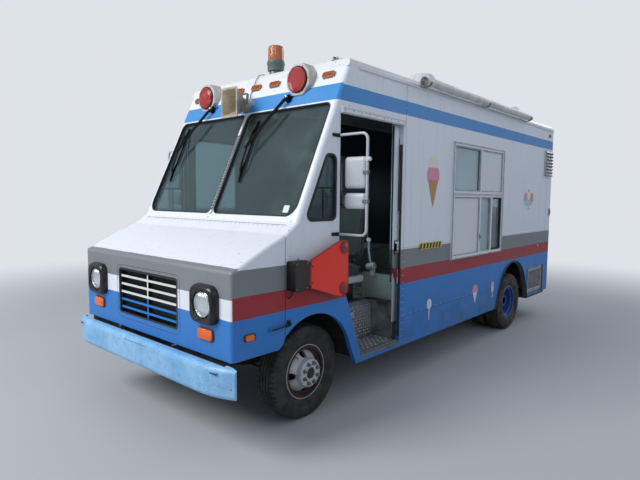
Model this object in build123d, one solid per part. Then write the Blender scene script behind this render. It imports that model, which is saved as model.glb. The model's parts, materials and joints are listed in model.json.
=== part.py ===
from build123d import *
import os
from math import cos, radians, sin, sqrt

os.makedirs("parts", exist_ok=True)

# A step van made into an ice cream truck, in millimetres. X is the truck's left, Y is
# rearward and Z is up. Places along the truck are measured from the front axle. At the
# end the model is moved so that its origin is on the ground, midway between the bumpers.

# Chassis
WHEELBASE = 3988
WHEEL_HEIGHT = 386
RAIL_OUTER = 430
RAIL_BOTTOM = 500
RAIL_TOP = 700
RAIL_FLANGE = 70
RAIL_METAL = 8
RAIL_FRONT = -830
BODY_REAR = WHEELBASE + 1524
RAIL_REAR = BODY_REAR - 52
CROSSMEMBERS = (-640, 640, 1500, 2400, 3200, WHEELBASE + 662, BODY_REAR - 132)
CROSSMEMBER_WIDTH = 70
CROSSMEMBER_DEPTH = 60

# Body shell
HALF_WIDTH = 1078
WALL = 40
SKIRT_BOTTOM = 368
WALL_TOP = 2862
BODY_JOINT = 1200
POST_ROUND = 38
ROOF_FRONT_ROUND = 75
ROOF_EDGE = WALL_TOP + 75
ROOF_CROWN = WALL_TOP + 95
ROOF_METAL = 40
DRIP_RAIL = 12
FLOOR_RISE = 100
FLOOR_TOP = RAIL_TOP + FLOOR_RISE
FLOOR_METAL = 50

# Windshield plane, which the front posts and the header share
SCREEN_FOOT_Y = -264
SCREEN_FOOT_Z = 1611
SCREEN_SLOPE = 0.4687
PANE_CENTRE_GAP = 25
PANE_EDGE = HALF_WIDTH - 56
PANE_ROUND = 50
PANE_FOOT_ROUND = 100
PANE_BOTTOM = 1658
PANE_TOP = 2555
GLASS = 6

# Tilting nose
NOSE_FRONT = -873
NOSE_SEAM = -380
NOSE_GAP = 6
NOSE_BOTTOM = 695
NOSE_SHELL = 25
NOSE_CORNER = 50
HOOD_FRONT_Z = 1325
HOOD_MIDDLE = (-620, 1428)
HOOD_REAR_Z = 1528
HOOD_ROUND = 28
NOSE_PIVOT_Y = -886
NOSE_PIVOT_Z = 688
NOSE_EAR_X = 416
GRILLE_HALF_WIDTH = 435
GRILLE_BOTTOM = 810
GRILLE_TOP = 1185
GRILLE_BARS = (860, 925, 990, 1057, 1125)
GRILLE_BAR = 18
GRILLE_RECESS = 12
LAMP_X = 797
LAMP_Z = 1060
BEZEL_WIDTH = 290
BEZEL_HEIGHT = 276
BEZEL_DEPTH = 54
BEZEL_ROUND = 75
LENS_RADIUS = 86
LENS_OUT = 36
TURN_Z = 847
TURN_WIDTH = 180
TURN_HEIGHT = 92

# Doorways and doors
DOORWAY_FRONT = 227
DOORWAY_REAR = 1160
DOORWAY_TOP = 2477
SILL_TOP = 430
DOORWAY_SLANT = ((227, 1180), (334, 973), (545, 430))
DOOR_METAL = 30
DOOR_GAP = 6
DOOR_LAP = 25
DOOR_BOTTOM = 446
DOOR_TOP = 2500
DOOR_TRAVEL = 880
DOOR_WINDOW = ((290, 870), (1620, 2400))
RAIL_SLOT = 14
ROLLER_RADIUS = 15
ROLLER_PLACES = (420, 960)
STEP_INNER_X = 750
STEP_FRONT = 545
REAR_DOORWAY_HALF = 668
REAR_DOORWAY_BOTTOM = 815
REAR_DOORWAY_TOP = 2560
REAR_DOOR_METAL = 35
REAR_DOOR_GAP = 8
REAR_HINGE_OUT = 18
REAR_HINGE_RADIUS = 9
REAR_HINGES = (1020, 1680, 2340)
REAR_WINDOW = ((130, 540), (1650, 2300))

# Serving window: outline, then each pane as front, rear, bottom, top, and whether it is glass
SERVING = ((2158, 3556), (1121, 2422))
PANES = (
    (2198, 2860, 1885, 2384, True),
    (2892, 3518, 1885, 2384, False),
    (2198, 2860, 1160, 1820, False),
    (2892, 3190, 1160, 1820, True),
    (3222, 3518, 1160, 1820, True),
)

# Wheels
TYRE_HALF_WIDTH = 107.5
RIM_SEAT = 203
RIM_FLANGE = 220
RIM_HALF = 76
RIM_METAL = 6
FRONT_TRACK_HALF = 847.5
FRONT_DISC_OUT = 138
DUAL_SPACING = 250
REAR_DUAL_CENTRE = 838
KINGPIN_X = 690
SPINDLE = 25
REAR_SPINDLE = 40
RUNNING_GAP = 0.3

# Bumpers
BUMPER_FRONT = -980
BUMPER_HALF = 1138
BUMPER_STRAIGHT = 800
BUMPER_END_Y = -900
BUMPER_ROUND = 46
BUMPER_BOTTOM = 455
BUMPER_TOP = 680
BUMPER_METAL = 10
BUMPER_WRAP = -883
STEP_REAR = BODY_REAR + 148
STEP_TOP = 500
STEP_DROP = 70
BALL_HOLE = 13
PLATE_SCREW = 3.5
PLATE_SPACING = 177.8
PLATE_HEIGHT = 570

# Stop sign on the left wall
SIGN_HINGE_Y = -208
SIGN_STANDOFF = 85
SIGN_METAL = 12
SIGN_BOX = ((-371, -222), (1118, 1336))

MID_Y = (BUMPER_FRONT + STEP_REAR) / 2
SIDES = {"left": 1, "right": -1}


def span(x, y, z):
    """A box from its low and high values along X, Y and Z."""
    lows = (x[0], y[0], z[0])
    size = [high - low for low, high in (x, y, z)]
    return Pos(*lows) * Box(*size, align=(Align.MIN, Align.MIN, Align.MIN))


def bar(start, end, radius):
    """A round bar between two points."""
    along = Vector(*end) - Vector(*start)
    rod = Cylinder(radius, along.length, align=(Align.CENTER, Align.CENTER, Align.MIN))
    return Plane(origin=start, z_dir=along) * rod


def outline(points, radius=0):
    """A flat face from its corners, with the corners rounded."""
    face = make_face(Polyline(*points, close=True))
    if radius:
        face = fillet(face.vertices(), radius)
    return face


def rectangle(low, high, radius=0):
    """A flat face from two opposite corners."""
    corners = [low, (high[0], low[1]), high, (low[0], high[1])]
    return outline(corners, radius)


def across(face, x_low, x_high):
    """A face drawn as (y, z) and carried across the truck from x_low to x_high."""
    return Pos(x_low, 0, 0) * extrude(Plane.YZ * face, x_high - x_low, dir=(1, 0, 0))


def along(face, y_low, y_high):
    """A face drawn as (x, z) and carried along the truck from y_low to y_high."""
    return Pos(0, y_low, 0) * extrude(Plane.XZ * face, y_high - y_low, dir=(0, 1, 0))


def upward(face, z_low, z_high):
    """A face drawn as (x, y) and carried upward from z_low to z_high."""
    return Pos(0, 0, z_low) * extrude(face, z_high - z_low, dir=(0, 0, 1))


def mirrored(shape):
    """The same shape on the truck's other side."""
    return mirror(shape, about=Plane.YZ)


def both(shape):
    """The shape and its mirror image on the truck's other side."""
    return shape + mirrored(shape)


def sided(shape, side):
    """A shape drawn for the left, on the left for side 1 and on the right for side -1."""
    return shape if side > 0 else mirrored(shape)


def spun(edges):
    """A solid of revolution about X from a profile drawn as (x, radius)."""
    return revolve(make_face(edges), Axis.X)


def screen_y(z):
    """Where the windshield plane is at a height."""
    return SCREEN_FOOT_Y + SCREEN_SLOPE * (z - SCREEN_FOOT_Z)


SCREEN_STRETCH = sqrt(1 + SCREEN_SLOPE**2)
SCREEN = Plane(
    origin=(0, SCREEN_FOOT_Y, SCREEN_FOOT_Z), x_dir=(1, 0, 0), z_dir=(0, -1, SCREEN_SLOPE)
)


def on_screen(face, low, high):
    """A face drawn on the windshield plane, as a slab from low to high outside it."""
    return SCREEN.offset(low) * extrude(face, high - low, dir=(0, 0, 1))


def screen_rise(z):
    """Distance up the windshield plane from its foot to a height."""
    return (z - SCREEN_FOOT_Z) * SCREEN_STRETCH


# Chassis

def assembled(*shapes):
    """Panels or beams that meet face to face, kept as separate solids of one node."""
    return Compound([solid for shape in shapes for solid in shape.solids()])


def chassis_frame():
    """Two channel rails, their crossmembers and the arms that carry both bumpers."""
    inner = RAIL_OUTER - RAIL_FLANGE
    rail = span((inner, RAIL_OUTER), (RAIL_FRONT, RAIL_REAR), (RAIL_BOTTOM, RAIL_TOP))
    hollow = (RAIL_BOTTOM + RAIL_METAL, RAIL_TOP - RAIL_METAL)
    rail -= span((inner, RAIL_OUTER - RAIL_METAL), (RAIL_FRONT, RAIL_REAR), hollow)
    beams = []
    reach = RAIL_OUTER - RAIL_METAL
    top = RAIL_TOP - RAIL_METAL
    for y in CROSSMEMBERS:
        ends = (y - CROSSMEMBER_WIDTH / 2, y + CROSSMEMBER_WIDTH / 2)
        beam = span((-reach, reach), ends, (top - CROSSMEMBER_DEPTH, top))
        slot = (y - CROSSMEMBER_WIDTH / 2 + RAIL_METAL, y + CROSSMEMBER_WIDTH / 2 - RAIL_METAL)
        beam -= span((-reach, reach), slot, (top - CROSSMEMBER_DEPTH, top - RAIL_METAL))
        beams.append(beam)
    arm_x = (RAIL_OUTER - RAIL_FLANGE, RAIL_OUTER - RAIL_METAL)
    arm_top = BUMPER_TOP - BUMPER_ROUND - BUMPER_METAL
    front_arm = span(arm_x, (BUMPER_FRONT + BUMPER_METAL, RAIL_FRONT), (arm_top - 84, arm_top))
    stem = (NOSE_PIVOT_Y - 9, NOSE_PIVOT_Y + 9)
    stem_x = (NOSE_EAR_X - 26, NOSE_EAR_X - 6)
    front_arm += span(stem_x, stem, (arm_top, NOSE_PIVOT_Z))
    front_arm += bar((stem_x[0], NOSE_PIVOT_Y, NOSE_PIVOT_Z), (stem_x[1], NOSE_PIVOT_Y, NOSE_PIVOT_Z), 9)
    pin_end = NOSE_EAR_X + 20
    front_arm += bar((stem_x[1], NOSE_PIVOT_Y, NOSE_PIVOT_Z), (pin_end, NOSE_PIVOT_Y, NOSE_PIVOT_Z), 5)
    rear_arm = span(arm_x, (RAIL_REAR - 200, STEP_REAR - 2 * BUMPER_METAL),
                    (STEP_TOP - STEP_DROP, STEP_TOP - BUMPER_METAL))
    rear_arm += span(arm_x, (RAIL_REAR - 200, RAIL_REAR - 60), (STEP_TOP - BUMPER_METAL, RAIL_BOTTOM))
    return assembled(both(rail), *beams, both(front_arm), both(rear_arm))


AXLE_BEAM_TOP = 365
AXLE_BEAM_BOTTOM = 290
BOSS_HALF = 55
BOSS_RADIUS = 35
KINGPIN_RADIUS = 14
LUG_METAL = 26


def front_axle():
    """A dropped beam with a kingpin boss at each end."""
    half = [
        (0, AXLE_BEAM_BOTTOM), (520, AXLE_BEAM_BOTTOM), (620, 338), (KINGPIN_X, 338),
        (KINGPIN_X, 430), (615, 430), (520, AXLE_BEAM_TOP), (0, AXLE_BEAM_TOP),
    ]
    beam = along(outline(half), -32, 32)
    pocket = along(outline([(0, 305), (515, 305), (600, 350), (600, 410), (520, 350), (0, 350)]), -32, -10)
    beam = beam - pocket - mirror(pocket, about=Plane.XZ)
    beam += Pos(KINGPIN_X, 0, WHEEL_HEIGHT) * Cylinder(BOSS_RADIUS, 2 * BOSS_HALF)
    beam += Pos(KINGPIN_X, 0, WHEEL_HEIGHT) * Cylinder(KINGPIN_RADIUS, 2 * (BOSS_HALF + LUG_METAL + 6))
    return both(beam)


def knuckle(side):
    """A steering knuckle: two lugs round the kingpin, the spindle, a brake plate and the steering arm."""
    low = WHEEL_HEIGHT - BOSS_HALF - RUNNING_GAP
    high = WHEEL_HEIGHT + BOSS_HALF + RUNNING_GAP
    back_x = (KINGPIN_X + BOSS_RADIUS + 6, KINGPIN_X + BOSS_RADIUS + 34)
    body = span(back_x, (-45, 45), (low - LUG_METAL, high + LUG_METAL))
    for z_range in ((low - LUG_METAL, low), (high, high + LUG_METAL)):
        lug = span((KINGPIN_X, back_x[0]), (-38, 38), z_range)
        lug += upward(Pos(KINGPIN_X, 0) * Circle(38), *z_range)
        body += lug
    body += bar((back_x[1], 0, WHEEL_HEIGHT), (back_x[1] + 14, 0, WHEEL_HEIGHT), 150)
    body += bar((back_x[1], 0, WHEEL_HEIGHT), (SPINDLE_END, 0, WHEEL_HEIGHT), SPINDLE)
    arm = outline([(KINGPIN_X - 10, 0), (KINGPIN_X + 45, 0), (KINGPIN_X + 45, 60), (TIE_X + 18, TIE_Y),
                   (TIE_X - 18, TIE_Y)])
    body += upward(arm + Pos(TIE_X, TIE_Y) * Circle(18), low - LUG_METAL, low - 6)
    body -= Pos(KINGPIN_X, 0, WHEEL_HEIGHT) * Cylinder(KINGPIN_RADIUS + RUNNING_GAP, 400)
    return sided(body, side)


SPINDLE_END = 900
TIE_X = 655
TIE_Y = 170
TIE_RADIUS = 14


def tie_rod():
    """The rod that joins the two steering arms, resting on their ends."""
    seat = WHEEL_HEIGHT - BOSS_HALF - RUNNING_GAP - 6 + RUNNING_GAP
    eye = upward(Pos(TIE_X, TIE_Y) * Circle(18), seat, seat + 32)
    centre_z = seat + 16
    rod = bar((-TIE_X, TIE_Y, centre_z), (TIE_X, TIE_Y, centre_z), TIE_RADIUS)
    return rod + both(eye)


def rear_axle():
    """Axle tube with the differential housing and a spindle at each end."""
    tube = bar((0, WHEELBASE, WHEEL_HEIGHT), (590, WHEELBASE, WHEEL_HEIGHT), 58)
    tube += bar((590, WHEELBASE, WHEEL_HEIGHT), (604, WHEELBASE, WHEEL_HEIGHT), 150)
    tube += bar((604, WHEELBASE, WHEEL_HEIGHT), (900, WHEELBASE, WHEEL_HEIGHT), REAR_SPINDLE)
    housing = bar((0, WHEELBASE - 95, WHEEL_HEIGHT), (0, WHEELBASE + 95, WHEEL_HEIGHT), 150)
    housing = fillet(housing.edges().filter_by(GeomType.CIRCLE), 60)
    snout = bar((0, WHEELBASE - 146, WHEEL_HEIGHT), (0, WHEELBASE - 60, WHEEL_HEIGHT), 60)
    return both(tube) + housing + snout


LEAF_WIDTH = 60
LEAF_METAL = 12
LEAVES = (1.0, 0.72, 0.46)


def leaf_spring(centre_x, centre_y, seat_z, half_length, rise, hanger_top):
    """A pack of curved leaves on its axle seat, with a hanger up to the frame at each end."""
    radius = (half_length**2 + rise**2) / (2 * rise)
    pack = None
    for index, share in enumerate(LEAVES):
        reach = half_length * share
        bottom = seat_z + LEAF_METAL * (len(LEAVES) - 1 - index)
        lift = radius - sqrt(radius**2 - reach**2)
        low = ThreePointArc((-reach, bottom + lift), (0, bottom), (reach, bottom + lift))
        high = ThreePointArc((-reach, bottom + lift + LEAF_METAL), (0, bottom + LEAF_METAL),
                             (reach, bottom + lift + LEAF_METAL))
        ends = [Line(low @ 0, high @ 0), Line(low @ 1, high @ 1)]
        leaf = across(make_face([low, high] + ends), centre_x - LEAF_WIDTH / 2, centre_x + LEAF_WIDTH / 2)
        pack = leaf if pack is None else pack + leaf
    eye_z = seat_z + 2 * LEAF_METAL + rise
    for end in (-1, 1):
        y = (end * half_length - 25, end * half_length + 25)
        pack += span((centre_x - LEAF_WIDTH / 2, centre_x + LEAF_WIDTH / 2), y, (eye_z - 12, hanger_top))
    clamp = (centre_x - LEAF_WIDTH / 2 - 8, centre_x + LEAF_WIDTH / 2 + 8)
    pack += span(clamp, (-45, 45), (seat_z, seat_z + 3 * LEAF_METAL + 16))
    return Pos(0, centre_y, 0) * pack


def leaf_springs():
    """Front springs under the rails, rear springs beside them on outriggers."""
    front = leaf_spring(RAIL_OUTER - RAIL_FLANGE / 2, 0, AXLE_BEAM_TOP, 560, 70, RAIL_BOTTOM)
    rear_x = RAIL_OUTER + 80
    rear = leaf_spring(rear_x, WHEELBASE, WHEEL_HEIGHT + 58, 620, 90, RAIL_BOTTOM + 110)
    for end in (-1, 1):
        y = WHEELBASE + end * 620
        rear += span((RAIL_OUTER, rear_x), (y - 25, y + 25), (RAIL_BOTTOM + 85, RAIL_BOTTOM + 145))
    return both(front) + both(rear)


ENGINE_TOP = 1060
SHAFT_FRONT = 1150


def driveline():
    """A plain block for the engine, with the gearbox and the propeller shaft behind it."""
    block = span((-320, 320), (-430, 520), (430, ENGINE_TOP))
    block += span((-140, 140), (520, SHAFT_FRONT), (440, 620))
    block += bar((0, SHAFT_FRONT - 20, 545), (0, WHEELBASE - 150, WHEEL_HEIGHT + 20), 42)
    return block


TANK_Y = (1750, 2800)


def fuel_tank():
    """A tank hung from the left rail by two straps."""
    x = (RAIL_OUTER + 70, HALF_WIDTH - 148)
    z = (405, 680)
    section = rectangle((x[0], z[0]), (x[1], z[1]), 45)
    strap = rectangle((x[0] - 6, z[0] - 6), (x[1] + 6, z[1] + 6), 48) - section
    tank = along(section, *TANK_Y)
    for y in (TANK_Y[0] + 200, TANK_Y[1] - 240):
        tank += along(strap, y, y + 60)
        tank += span((RAIL_OUTER, x[0]), (y, y + 60), (560, 640))
    return tank


def exhaust():
    """A silencer beside the right rail, with its pipe from the engine and a side outlet."""
    pipe_x = -560
    box_y = (1500, 2150)
    path = FilletPolyline((-320, 250, 468), (-475, 250, 468), (-475, 900, 468), (pipe_x, 1300, 520),
                          (pipe_x, box_y[0], 520), radius=90)
    pipe = sweep(Plane(origin=path @ 0, z_dir=path % 0) * Circle(28), path)
    tail = FilletPolyline((pipe_x, box_y[1], 520), (pipe_x, 2900, 430), (-1010, 3120, 330), radius=120)
    pipe += sweep(Plane(origin=tail @ 0, z_dir=tail % 0) * Circle(28), tail)
    pipe += bar((pipe_x, box_y[0], 520), (pipe_x, box_y[1], 520), 90)
    for y in (box_y[0] + 80, box_y[1] - 110):
        pipe += span((-RAIL_OUTER - 60, -RAIL_OUTER), (y, y + 30), (530, 600))
    return pipe


# Wheels

def tyre():
    """One tyre about the X axis, closed over the rim's bead seats."""
    crown = ThreePointArc((-86, 376), (0, WHEEL_HEIGHT), (86, 376))
    left = ThreePointArc((-84, 226), (-TYRE_HALF_WIDTH, 298), (-86, 376))
    right = ThreePointArc((84, 226), (TYRE_HALF_WIDTH, 298), (86, 376))
    bead = Polyline((-84, 226), (-RIM_HALF, RIM_FLANGE), (-RIM_HALF, RIM_SEAT), (RIM_HALF, RIM_SEAT),
                    (RIM_HALF, RIM_FLANGE), (84, 226))
    return spun([bead, left, crown, right])


def rim_barrel():
    """A drop-centre steel rim about the X axis."""
    well = RIM_SEAT - 23
    edge = RIM_HALF + RIM_METAL
    outer = [(-edge, RIM_FLANGE), (-RIM_HALF, RIM_FLANGE), (-RIM_HALF, RIM_SEAT), (-52, RIM_SEAT), (-42, well),
             (42, well), (52, RIM_SEAT), (RIM_HALF, RIM_SEAT), (RIM_HALF, RIM_FLANGE), (edge, RIM_FLANGE)]
    inner = [(edge, RIM_SEAT - RIM_METAL), (56, RIM_SEAT - RIM_METAL), (46, well - RIM_METAL),
             (-46, well - RIM_METAL), (-56, RIM_SEAT - RIM_METAL), (-edge, RIM_SEAT - RIM_METAL)]
    return spun(Polyline(*outer, *inner, close=True))


DISC_METAL = 10
HUB_HOLE = 47


def disc(profile, back, holes, hole_radius, hole_circle, phase):
    """A wheel disc between two (x, radius) profiles, with a ring of hand holes turned by phase of their pitch."""
    plate = spun(Polyline(*profile, *reversed(back), close=True))
    for index in range(holes):
        turn = radians(360 * (index + phase) / holes)
        y, z = hole_circle * cos(turn), hole_circle * sin(turn)
        plate -= bar((-200, y, z), (200, y, z), hole_radius)
    return plate


def front_rim():
    """Front wheel about the X axis: a coned disc, then a steep step out to the lug flange, proud of the tyre."""
    face = FRONT_DISC_OUT
    profile = [(8, 178), (30, 173), (face - 46, 121), (face - 6, 113), (face, 106), (face, HUB_HOLE)]
    back = [(-2, 178), (22, 168), (face - 56, 112), (face - 14, 104), (face - 10, 98), (face - 10, HUB_HOLE)]
    dish = disc(profile, back, 4, 31, 147, 0.065)
    hub = bar((-66, 0, 0), (face - DISC_METAL, 0, 0), 56)
    hub += bar((face - DISC_METAL - 12, 0, 0), (face - DISC_METAL, 0, 0), 112)
    bore = bar((-70, 0, 0), (SPINDLE_END - FRONT_TRACK_HALF + 6, 0, 0), SPINDLE + RUNNING_GAP)
    return rim_barrel() + dish + hub - bore


def rear_rims():
    """Twin rear wheels about the X axis, bolted back to back, with the hub and brake drum."""
    half = DUAL_SPACING / 2
    profile = [(-30, 177), (-62, 162), (-half + 26, 132), (-half + DISC_METAL, 120), (-half + DISC_METAL, 60)]
    dish = disc(profile, [(x - DISC_METAL, r) for x, r in profile], 8, 27, 144, 0.5)
    outer = Pos(half, 0, 0) * (rim_barrel() + dish)
    wheel = outer + mirror(outer, about=Plane.YZ)
    wheel += bar((-194, 0, 0), (150, 0, 0), 78)
    wheel += bar((-192, 0, 0), (-40, 0, 0), 160)
    return wheel - bar((-200, 0, 0), (900 - REAR_DUAL_CENTRE + 6, 0, 0), REAR_SPINDLE + RUNNING_GAP)


# Body shell

def front_arch():
    """Outline of the front wheel opening as (y, z)."""
    arc = ThreePointArc((-384, 772), (0, 892), (391, 551))
    rest = Polyline((391, 551), (479, SKIRT_BOTTOM - 1), (-480, SKIRT_BOTTOM - 1), (-480, 772), (-384, 772))
    return make_face([arc, rest])


def rear_arch(grow=0):
    """Outline of the rear wheel opening as (y, z), grown outward for its lip."""
    centre = WHEELBASE + 42
    arc = ThreePointArc((centre - 442 - grow, 625), (centre, 935 + grow), (centre + 442 + grow, 625))
    foot = SKIRT_BOTTOM - 1
    rest = Polyline((centre + 442 + grow, 625), (centre + 552 + grow, foot), (centre - 552 - grow, foot),
                    (centre - 442 - grow, 625))
    return make_face([arc, rest])


def doorway_outline(grow=0, bottom=SILL_TOP):
    """Side doorway as (y, z): its front edge slants back at the foot, behind the wheel."""
    top = DOORWAY_TOP + grow
    slant = [(y - grow, z) for y, z in DOORWAY_SLANT[:2]]
    foot_y = DOORWAY_SLANT[1][0] + (DOORWAY_SLANT[1][1] - bottom) * 0.3886 - grow
    return [(DOORWAY_FRONT - grow, top), *slant, (foot_y, bottom), (DOORWAY_REAR + grow, bottom),
            (DOORWAY_REAR + grow, top)]


QUARTER_WINDOW = ((-176, 1625), (175, 1625), (175, 2137), (65, 2137))
VENT = ((BODY_REAR - 362, BODY_REAR - 22), (2160, 2550))
MESH_DOOR = ((WHEELBASE + 637, WHEELBASE + 1217), (432, 765))


def side_wall(side):
    """One side of the body as a cab panel and a load panel, with the door's rail inside them."""
    points = [
        (NOSE_SEAM, 772), (NOSE_SEAM, HOOD_REAR_Z), (SCREEN_FOOT_Y, SCREEN_FOOT_Z),
        (screen_y(WALL_TOP), WALL_TOP), (BODY_REAR, WALL_TOP), (BODY_REAR, SKIRT_BOTTOM), (0, SKIRT_BOTTOM),
        (0, 772),
    ]
    inner = HALF_WIDTH - WALL
    wall = across(outline(points), inner, HALF_WIDTH)
    scuttle_slope = (SCREEN_FOOT_Z - HOOD_REAR_Z) / (SCREEN_FOOT_Y - NOSE_SEAM)
    for rise, run, radius in ((1, SCREEN_SLOPE, POST_ROUND), (scuttle_slope, 1, HOOD_ROUND)):
        wall = fillet(wall.edges().filter_by(Axis((0, 0, 0), (0, run, rise))).sort_by(Axis.X)[-1], radius)
    openings = [
        front_arch(), rear_arch(), outline(doorway_outline()), outline(QUARTER_WINDOW, 45),
        rectangle((SERVING[0][0] + 20, SERVING[1][0] + 20), (SERVING[0][1] - 20, SERVING[1][1] - 20)),
    ]
    if side > 0:
        openings.append(rectangle(*zip(*MESH_DOOR)))
    for opening in openings:
        wall -= across(opening, inner - 1, HALF_WIDTH + 1)
    wall += across(rear_arch(24) - rear_arch(), HALF_WIDTH, HALF_WIDTH + 12)
    gutter = [(DOORWAY_FRONT, DOORWAY_TOP), (DOORWAY_REAR, DOORWAY_TOP + 40)]
    wall += across(rectangle(*gutter), HALF_WIDTH, HALF_WIDTH + 22)
    ahead = span((0, 2 * HALF_WIDTH), (NOSE_SEAM - 1, BODY_JOINT), (0, WALL_TOP + 1))
    return sided(assembled(wall & ahead, wall - ahead, door_rail()), side)


def cowl():
    """Firewall, scuttle, windshield frame and header as one bent panel between the side walls."""
    inner = HALF_WIDTH - WALL
    back = WALL * SCREEN_STRETCH
    points = [
        (NOSE_SEAM, FLOOR_TOP - FLOOR_METAL), (NOSE_SEAM, HOOD_REAR_Z), (SCREEN_FOOT_Y, SCREEN_FOOT_Z),
        (screen_y(WALL_TOP), WALL_TOP), (screen_y(WALL_TOP) + back, WALL_TOP),
        (SCREEN_FOOT_Y + back + 10, SCREEN_FOOT_Z + 10), (NOSE_SEAM + WALL, HOOD_REAR_Z - 15),
        (NOSE_SEAM + WALL, FLOOR_TOP - FLOOR_METAL),
    ]
    panel = across(outline(points), -inner, inner)
    panel -= span((-340, 340), (NOSE_SEAM - 5, 0), (FLOOR_TOP - FLOOR_METAL - 5, ENGINE_TOP + 25))
    return panel - both(on_screen(windshield_pane(), -200, 50))


def windshield_pane():
    """Outline of the left windshield pane on the windshield plane."""
    low = (PANE_CENTRE_GAP, screen_rise(PANE_BOTTOM))
    high = (PANE_EDGE, screen_rise(PANE_TOP))
    pane = rectangle(low, high)
    foot = pane.vertices().sort_by(Axis.Y)[:2].sort_by(Axis.X)[-1]
    pane = fillet(foot, PANE_FOOT_ROUND)
    others = [corner for corner in pane.vertices() if corner.X < low[0] + 1 or corner.Y > high[1] - 1]
    return fillet(others, PANE_ROUND)


def roof():
    """Crowned roof tray with rounded edges, a drip rail each side, and a front cut to the header."""
    edge = HALF_WIDTH
    arcs = [
        Line((-edge, WALL_TOP), (-edge, WALL_TOP + 24)),
        ThreePointArc((-edge, WALL_TOP + 24), (-edge + 17, ROOF_EDGE - 17), (-edge + 58, ROOF_EDGE)),
        ThreePointArc((-edge + 58, ROOF_EDGE), (0, ROOF_CROWN), (edge - 58, ROOF_EDGE)),
        ThreePointArc((edge - 58, ROOF_EDGE), (edge - 17, ROOF_EDGE - 17), (edge, WALL_TOP + 24)),
        Line((edge, WALL_TOP + 24), (edge, WALL_TOP)),
        Line((edge, WALL_TOP), (-edge, WALL_TOP)),
    ]
    front = screen_y(WALL_TOP)
    shell = along(make_face(arcs), front, BODY_REAR)
    side_form = outline([(front, WALL_TOP), (screen_y(ROOF_CROWN), ROOF_CROWN), (BODY_REAR, ROOF_CROWN),
                         (BODY_REAR, WALL_TOP)])
    side_form = fillet(side_form.vertices().sort_by(Axis.X)[1], ROOF_FRONT_ROUND)
    shell = shell & across(side_form, -edge, edge)
    inner = edge - WALL
    shell -= span((-inner, inner), (front + WALL * 1.6, BODY_REAR - WALL), (WALL_TOP, ROOF_EDGE - ROOF_METAL))
    rail = span((edge, edge + DRIP_RAIL), (front + 140, BODY_REAR), (WALL_TOP - 7, WALL_TOP + 8))
    return shell + both(rail)


def rear_wall():
    """Rear panel between the side walls, with its doorway and the fixed hinge halves."""
    inner = HALF_WIDTH - WALL
    panel = span((-inner, inner), (BODY_REAR - WALL, BODY_REAR), (SKIRT_BOTTOM + 140, WALL_TOP))
    panel -= span((-REAR_DOORWAY_HALF, REAR_DOORWAY_HALF), (BODY_REAR - WALL - 5, BODY_REAR + 5),
                  (REAR_DOORWAY_BOTTOM, REAR_DOORWAY_TOP))
    panel -= both(span((RAIL_OUTER - RAIL_FLANGE - 10, RAIL_OUTER + 10), (BODY_REAR - WALL - 5, BODY_REAR + 5),
                       (SKIRT_BOTTOM, RAIL_TOP - 30)))
    axis_y = BODY_REAR + REAR_HINGE_OUT
    for z in REAR_HINGES:
        half = bar((REAR_DOORWAY_HALF, axis_y, z - 60), (REAR_DOORWAY_HALF, axis_y, z), REAR_HINGE_RADIUS)
        half += span((REAR_DOORWAY_HALF, REAR_DOORWAY_HALF + 60), (BODY_REAR, BODY_REAR + 6), (z - 60, z))
        half += span((REAR_DOORWAY_HALF, REAR_DOORWAY_HALF + 8), (BODY_REAR, axis_y), (z - 60, z))
        panel += both(half)
    return panel


def rear_door(side):
    """One of the two rear doors, with its hinge halves and window opening, drawn on the left."""
    outer = REAR_DOORWAY_HALF - REAR_DOOR_GAP
    inner = REAR_DOOR_GAP / 2
    z = (REAR_DOORWAY_BOTTOM + REAR_DOOR_GAP, REAR_DOORWAY_TOP - REAR_DOOR_GAP)
    door = span((inner, outer), (BODY_REAR - REAR_DOOR_METAL, BODY_REAR), z)
    door -= along(rear_window(), BODY_REAR - 60, BODY_REAR + 10)
    axis_y = BODY_REAR + REAR_HINGE_OUT
    for hinge_z in REAR_HINGES:
        low, high = hinge_z + RUNNING_GAP, hinge_z + 60
        door += bar((REAR_DOORWAY_HALF, axis_y, low), (REAR_DOORWAY_HALF, axis_y, high), REAR_HINGE_RADIUS)
        door += span((outer - 60, REAR_DOORWAY_HALF), (BODY_REAR, BODY_REAR + 6), (low, high))
        door += span((REAR_DOORWAY_HALF - 8, REAR_DOORWAY_HALF), (BODY_REAR, axis_y), (low, high))
    return sided(door, side)


def rear_window():
    """Outline of the left rear door's window as (x, z)."""
    return rectangle(*zip(*REAR_WINDOW), 50)


def floor():
    """Floor panels on cross sills, laid round the engine, wheels and door pockets, with the side step wells."""
    inner = HALF_WIDTH - WALL
    z = (FLOOR_TOP - FLOOR_METAL, FLOOR_TOP)
    pocket_rear = DOORWAY_REAR + DOOR_LAP + DOOR_TRAVEL + 15
    house_front, house_rear = REAR_HOUSE_Y
    strips = [
        (STEP_INNER_X, STEP_FRONT, DOORWAY_REAR), (POCKET_X, DOORWAY_REAR, pocket_rear),
        (inner, pocket_rear, house_front), (REAR_HOUSE_INNER, house_front, house_rear),
        (inner, house_rear, BODY_REAR - WALL),
    ]
    pieces = [span((-half, half), (front, rear), z) for half, front, rear in strips]
    pieces.append(both(span((ENGINE_BAY, WHEELHOUSE_INNER - 10), (NOSE_SEAM + WALL, WHEELHOUSE_REAR), z)))
    pieces.append(both(span((ENGINE_BAY, POCKET_X), (WHEELHOUSE_REAR, STEP_FRONT), z)))
    for y in SILLS:
        pieces.append(span((-SILL_HALF, SILL_HALF), (y - 30, y + 30), (RAIL_TOP, z[0])))
    step_sill = STEP_INNER_X - STEP_METAL
    pieces.append(span((-step_sill, step_sill), (STEP_SILL - 30, STEP_SILL + 30), (RAIL_TOP, z[0])))
    return assembled(*pieces, *step_wells())


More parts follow.
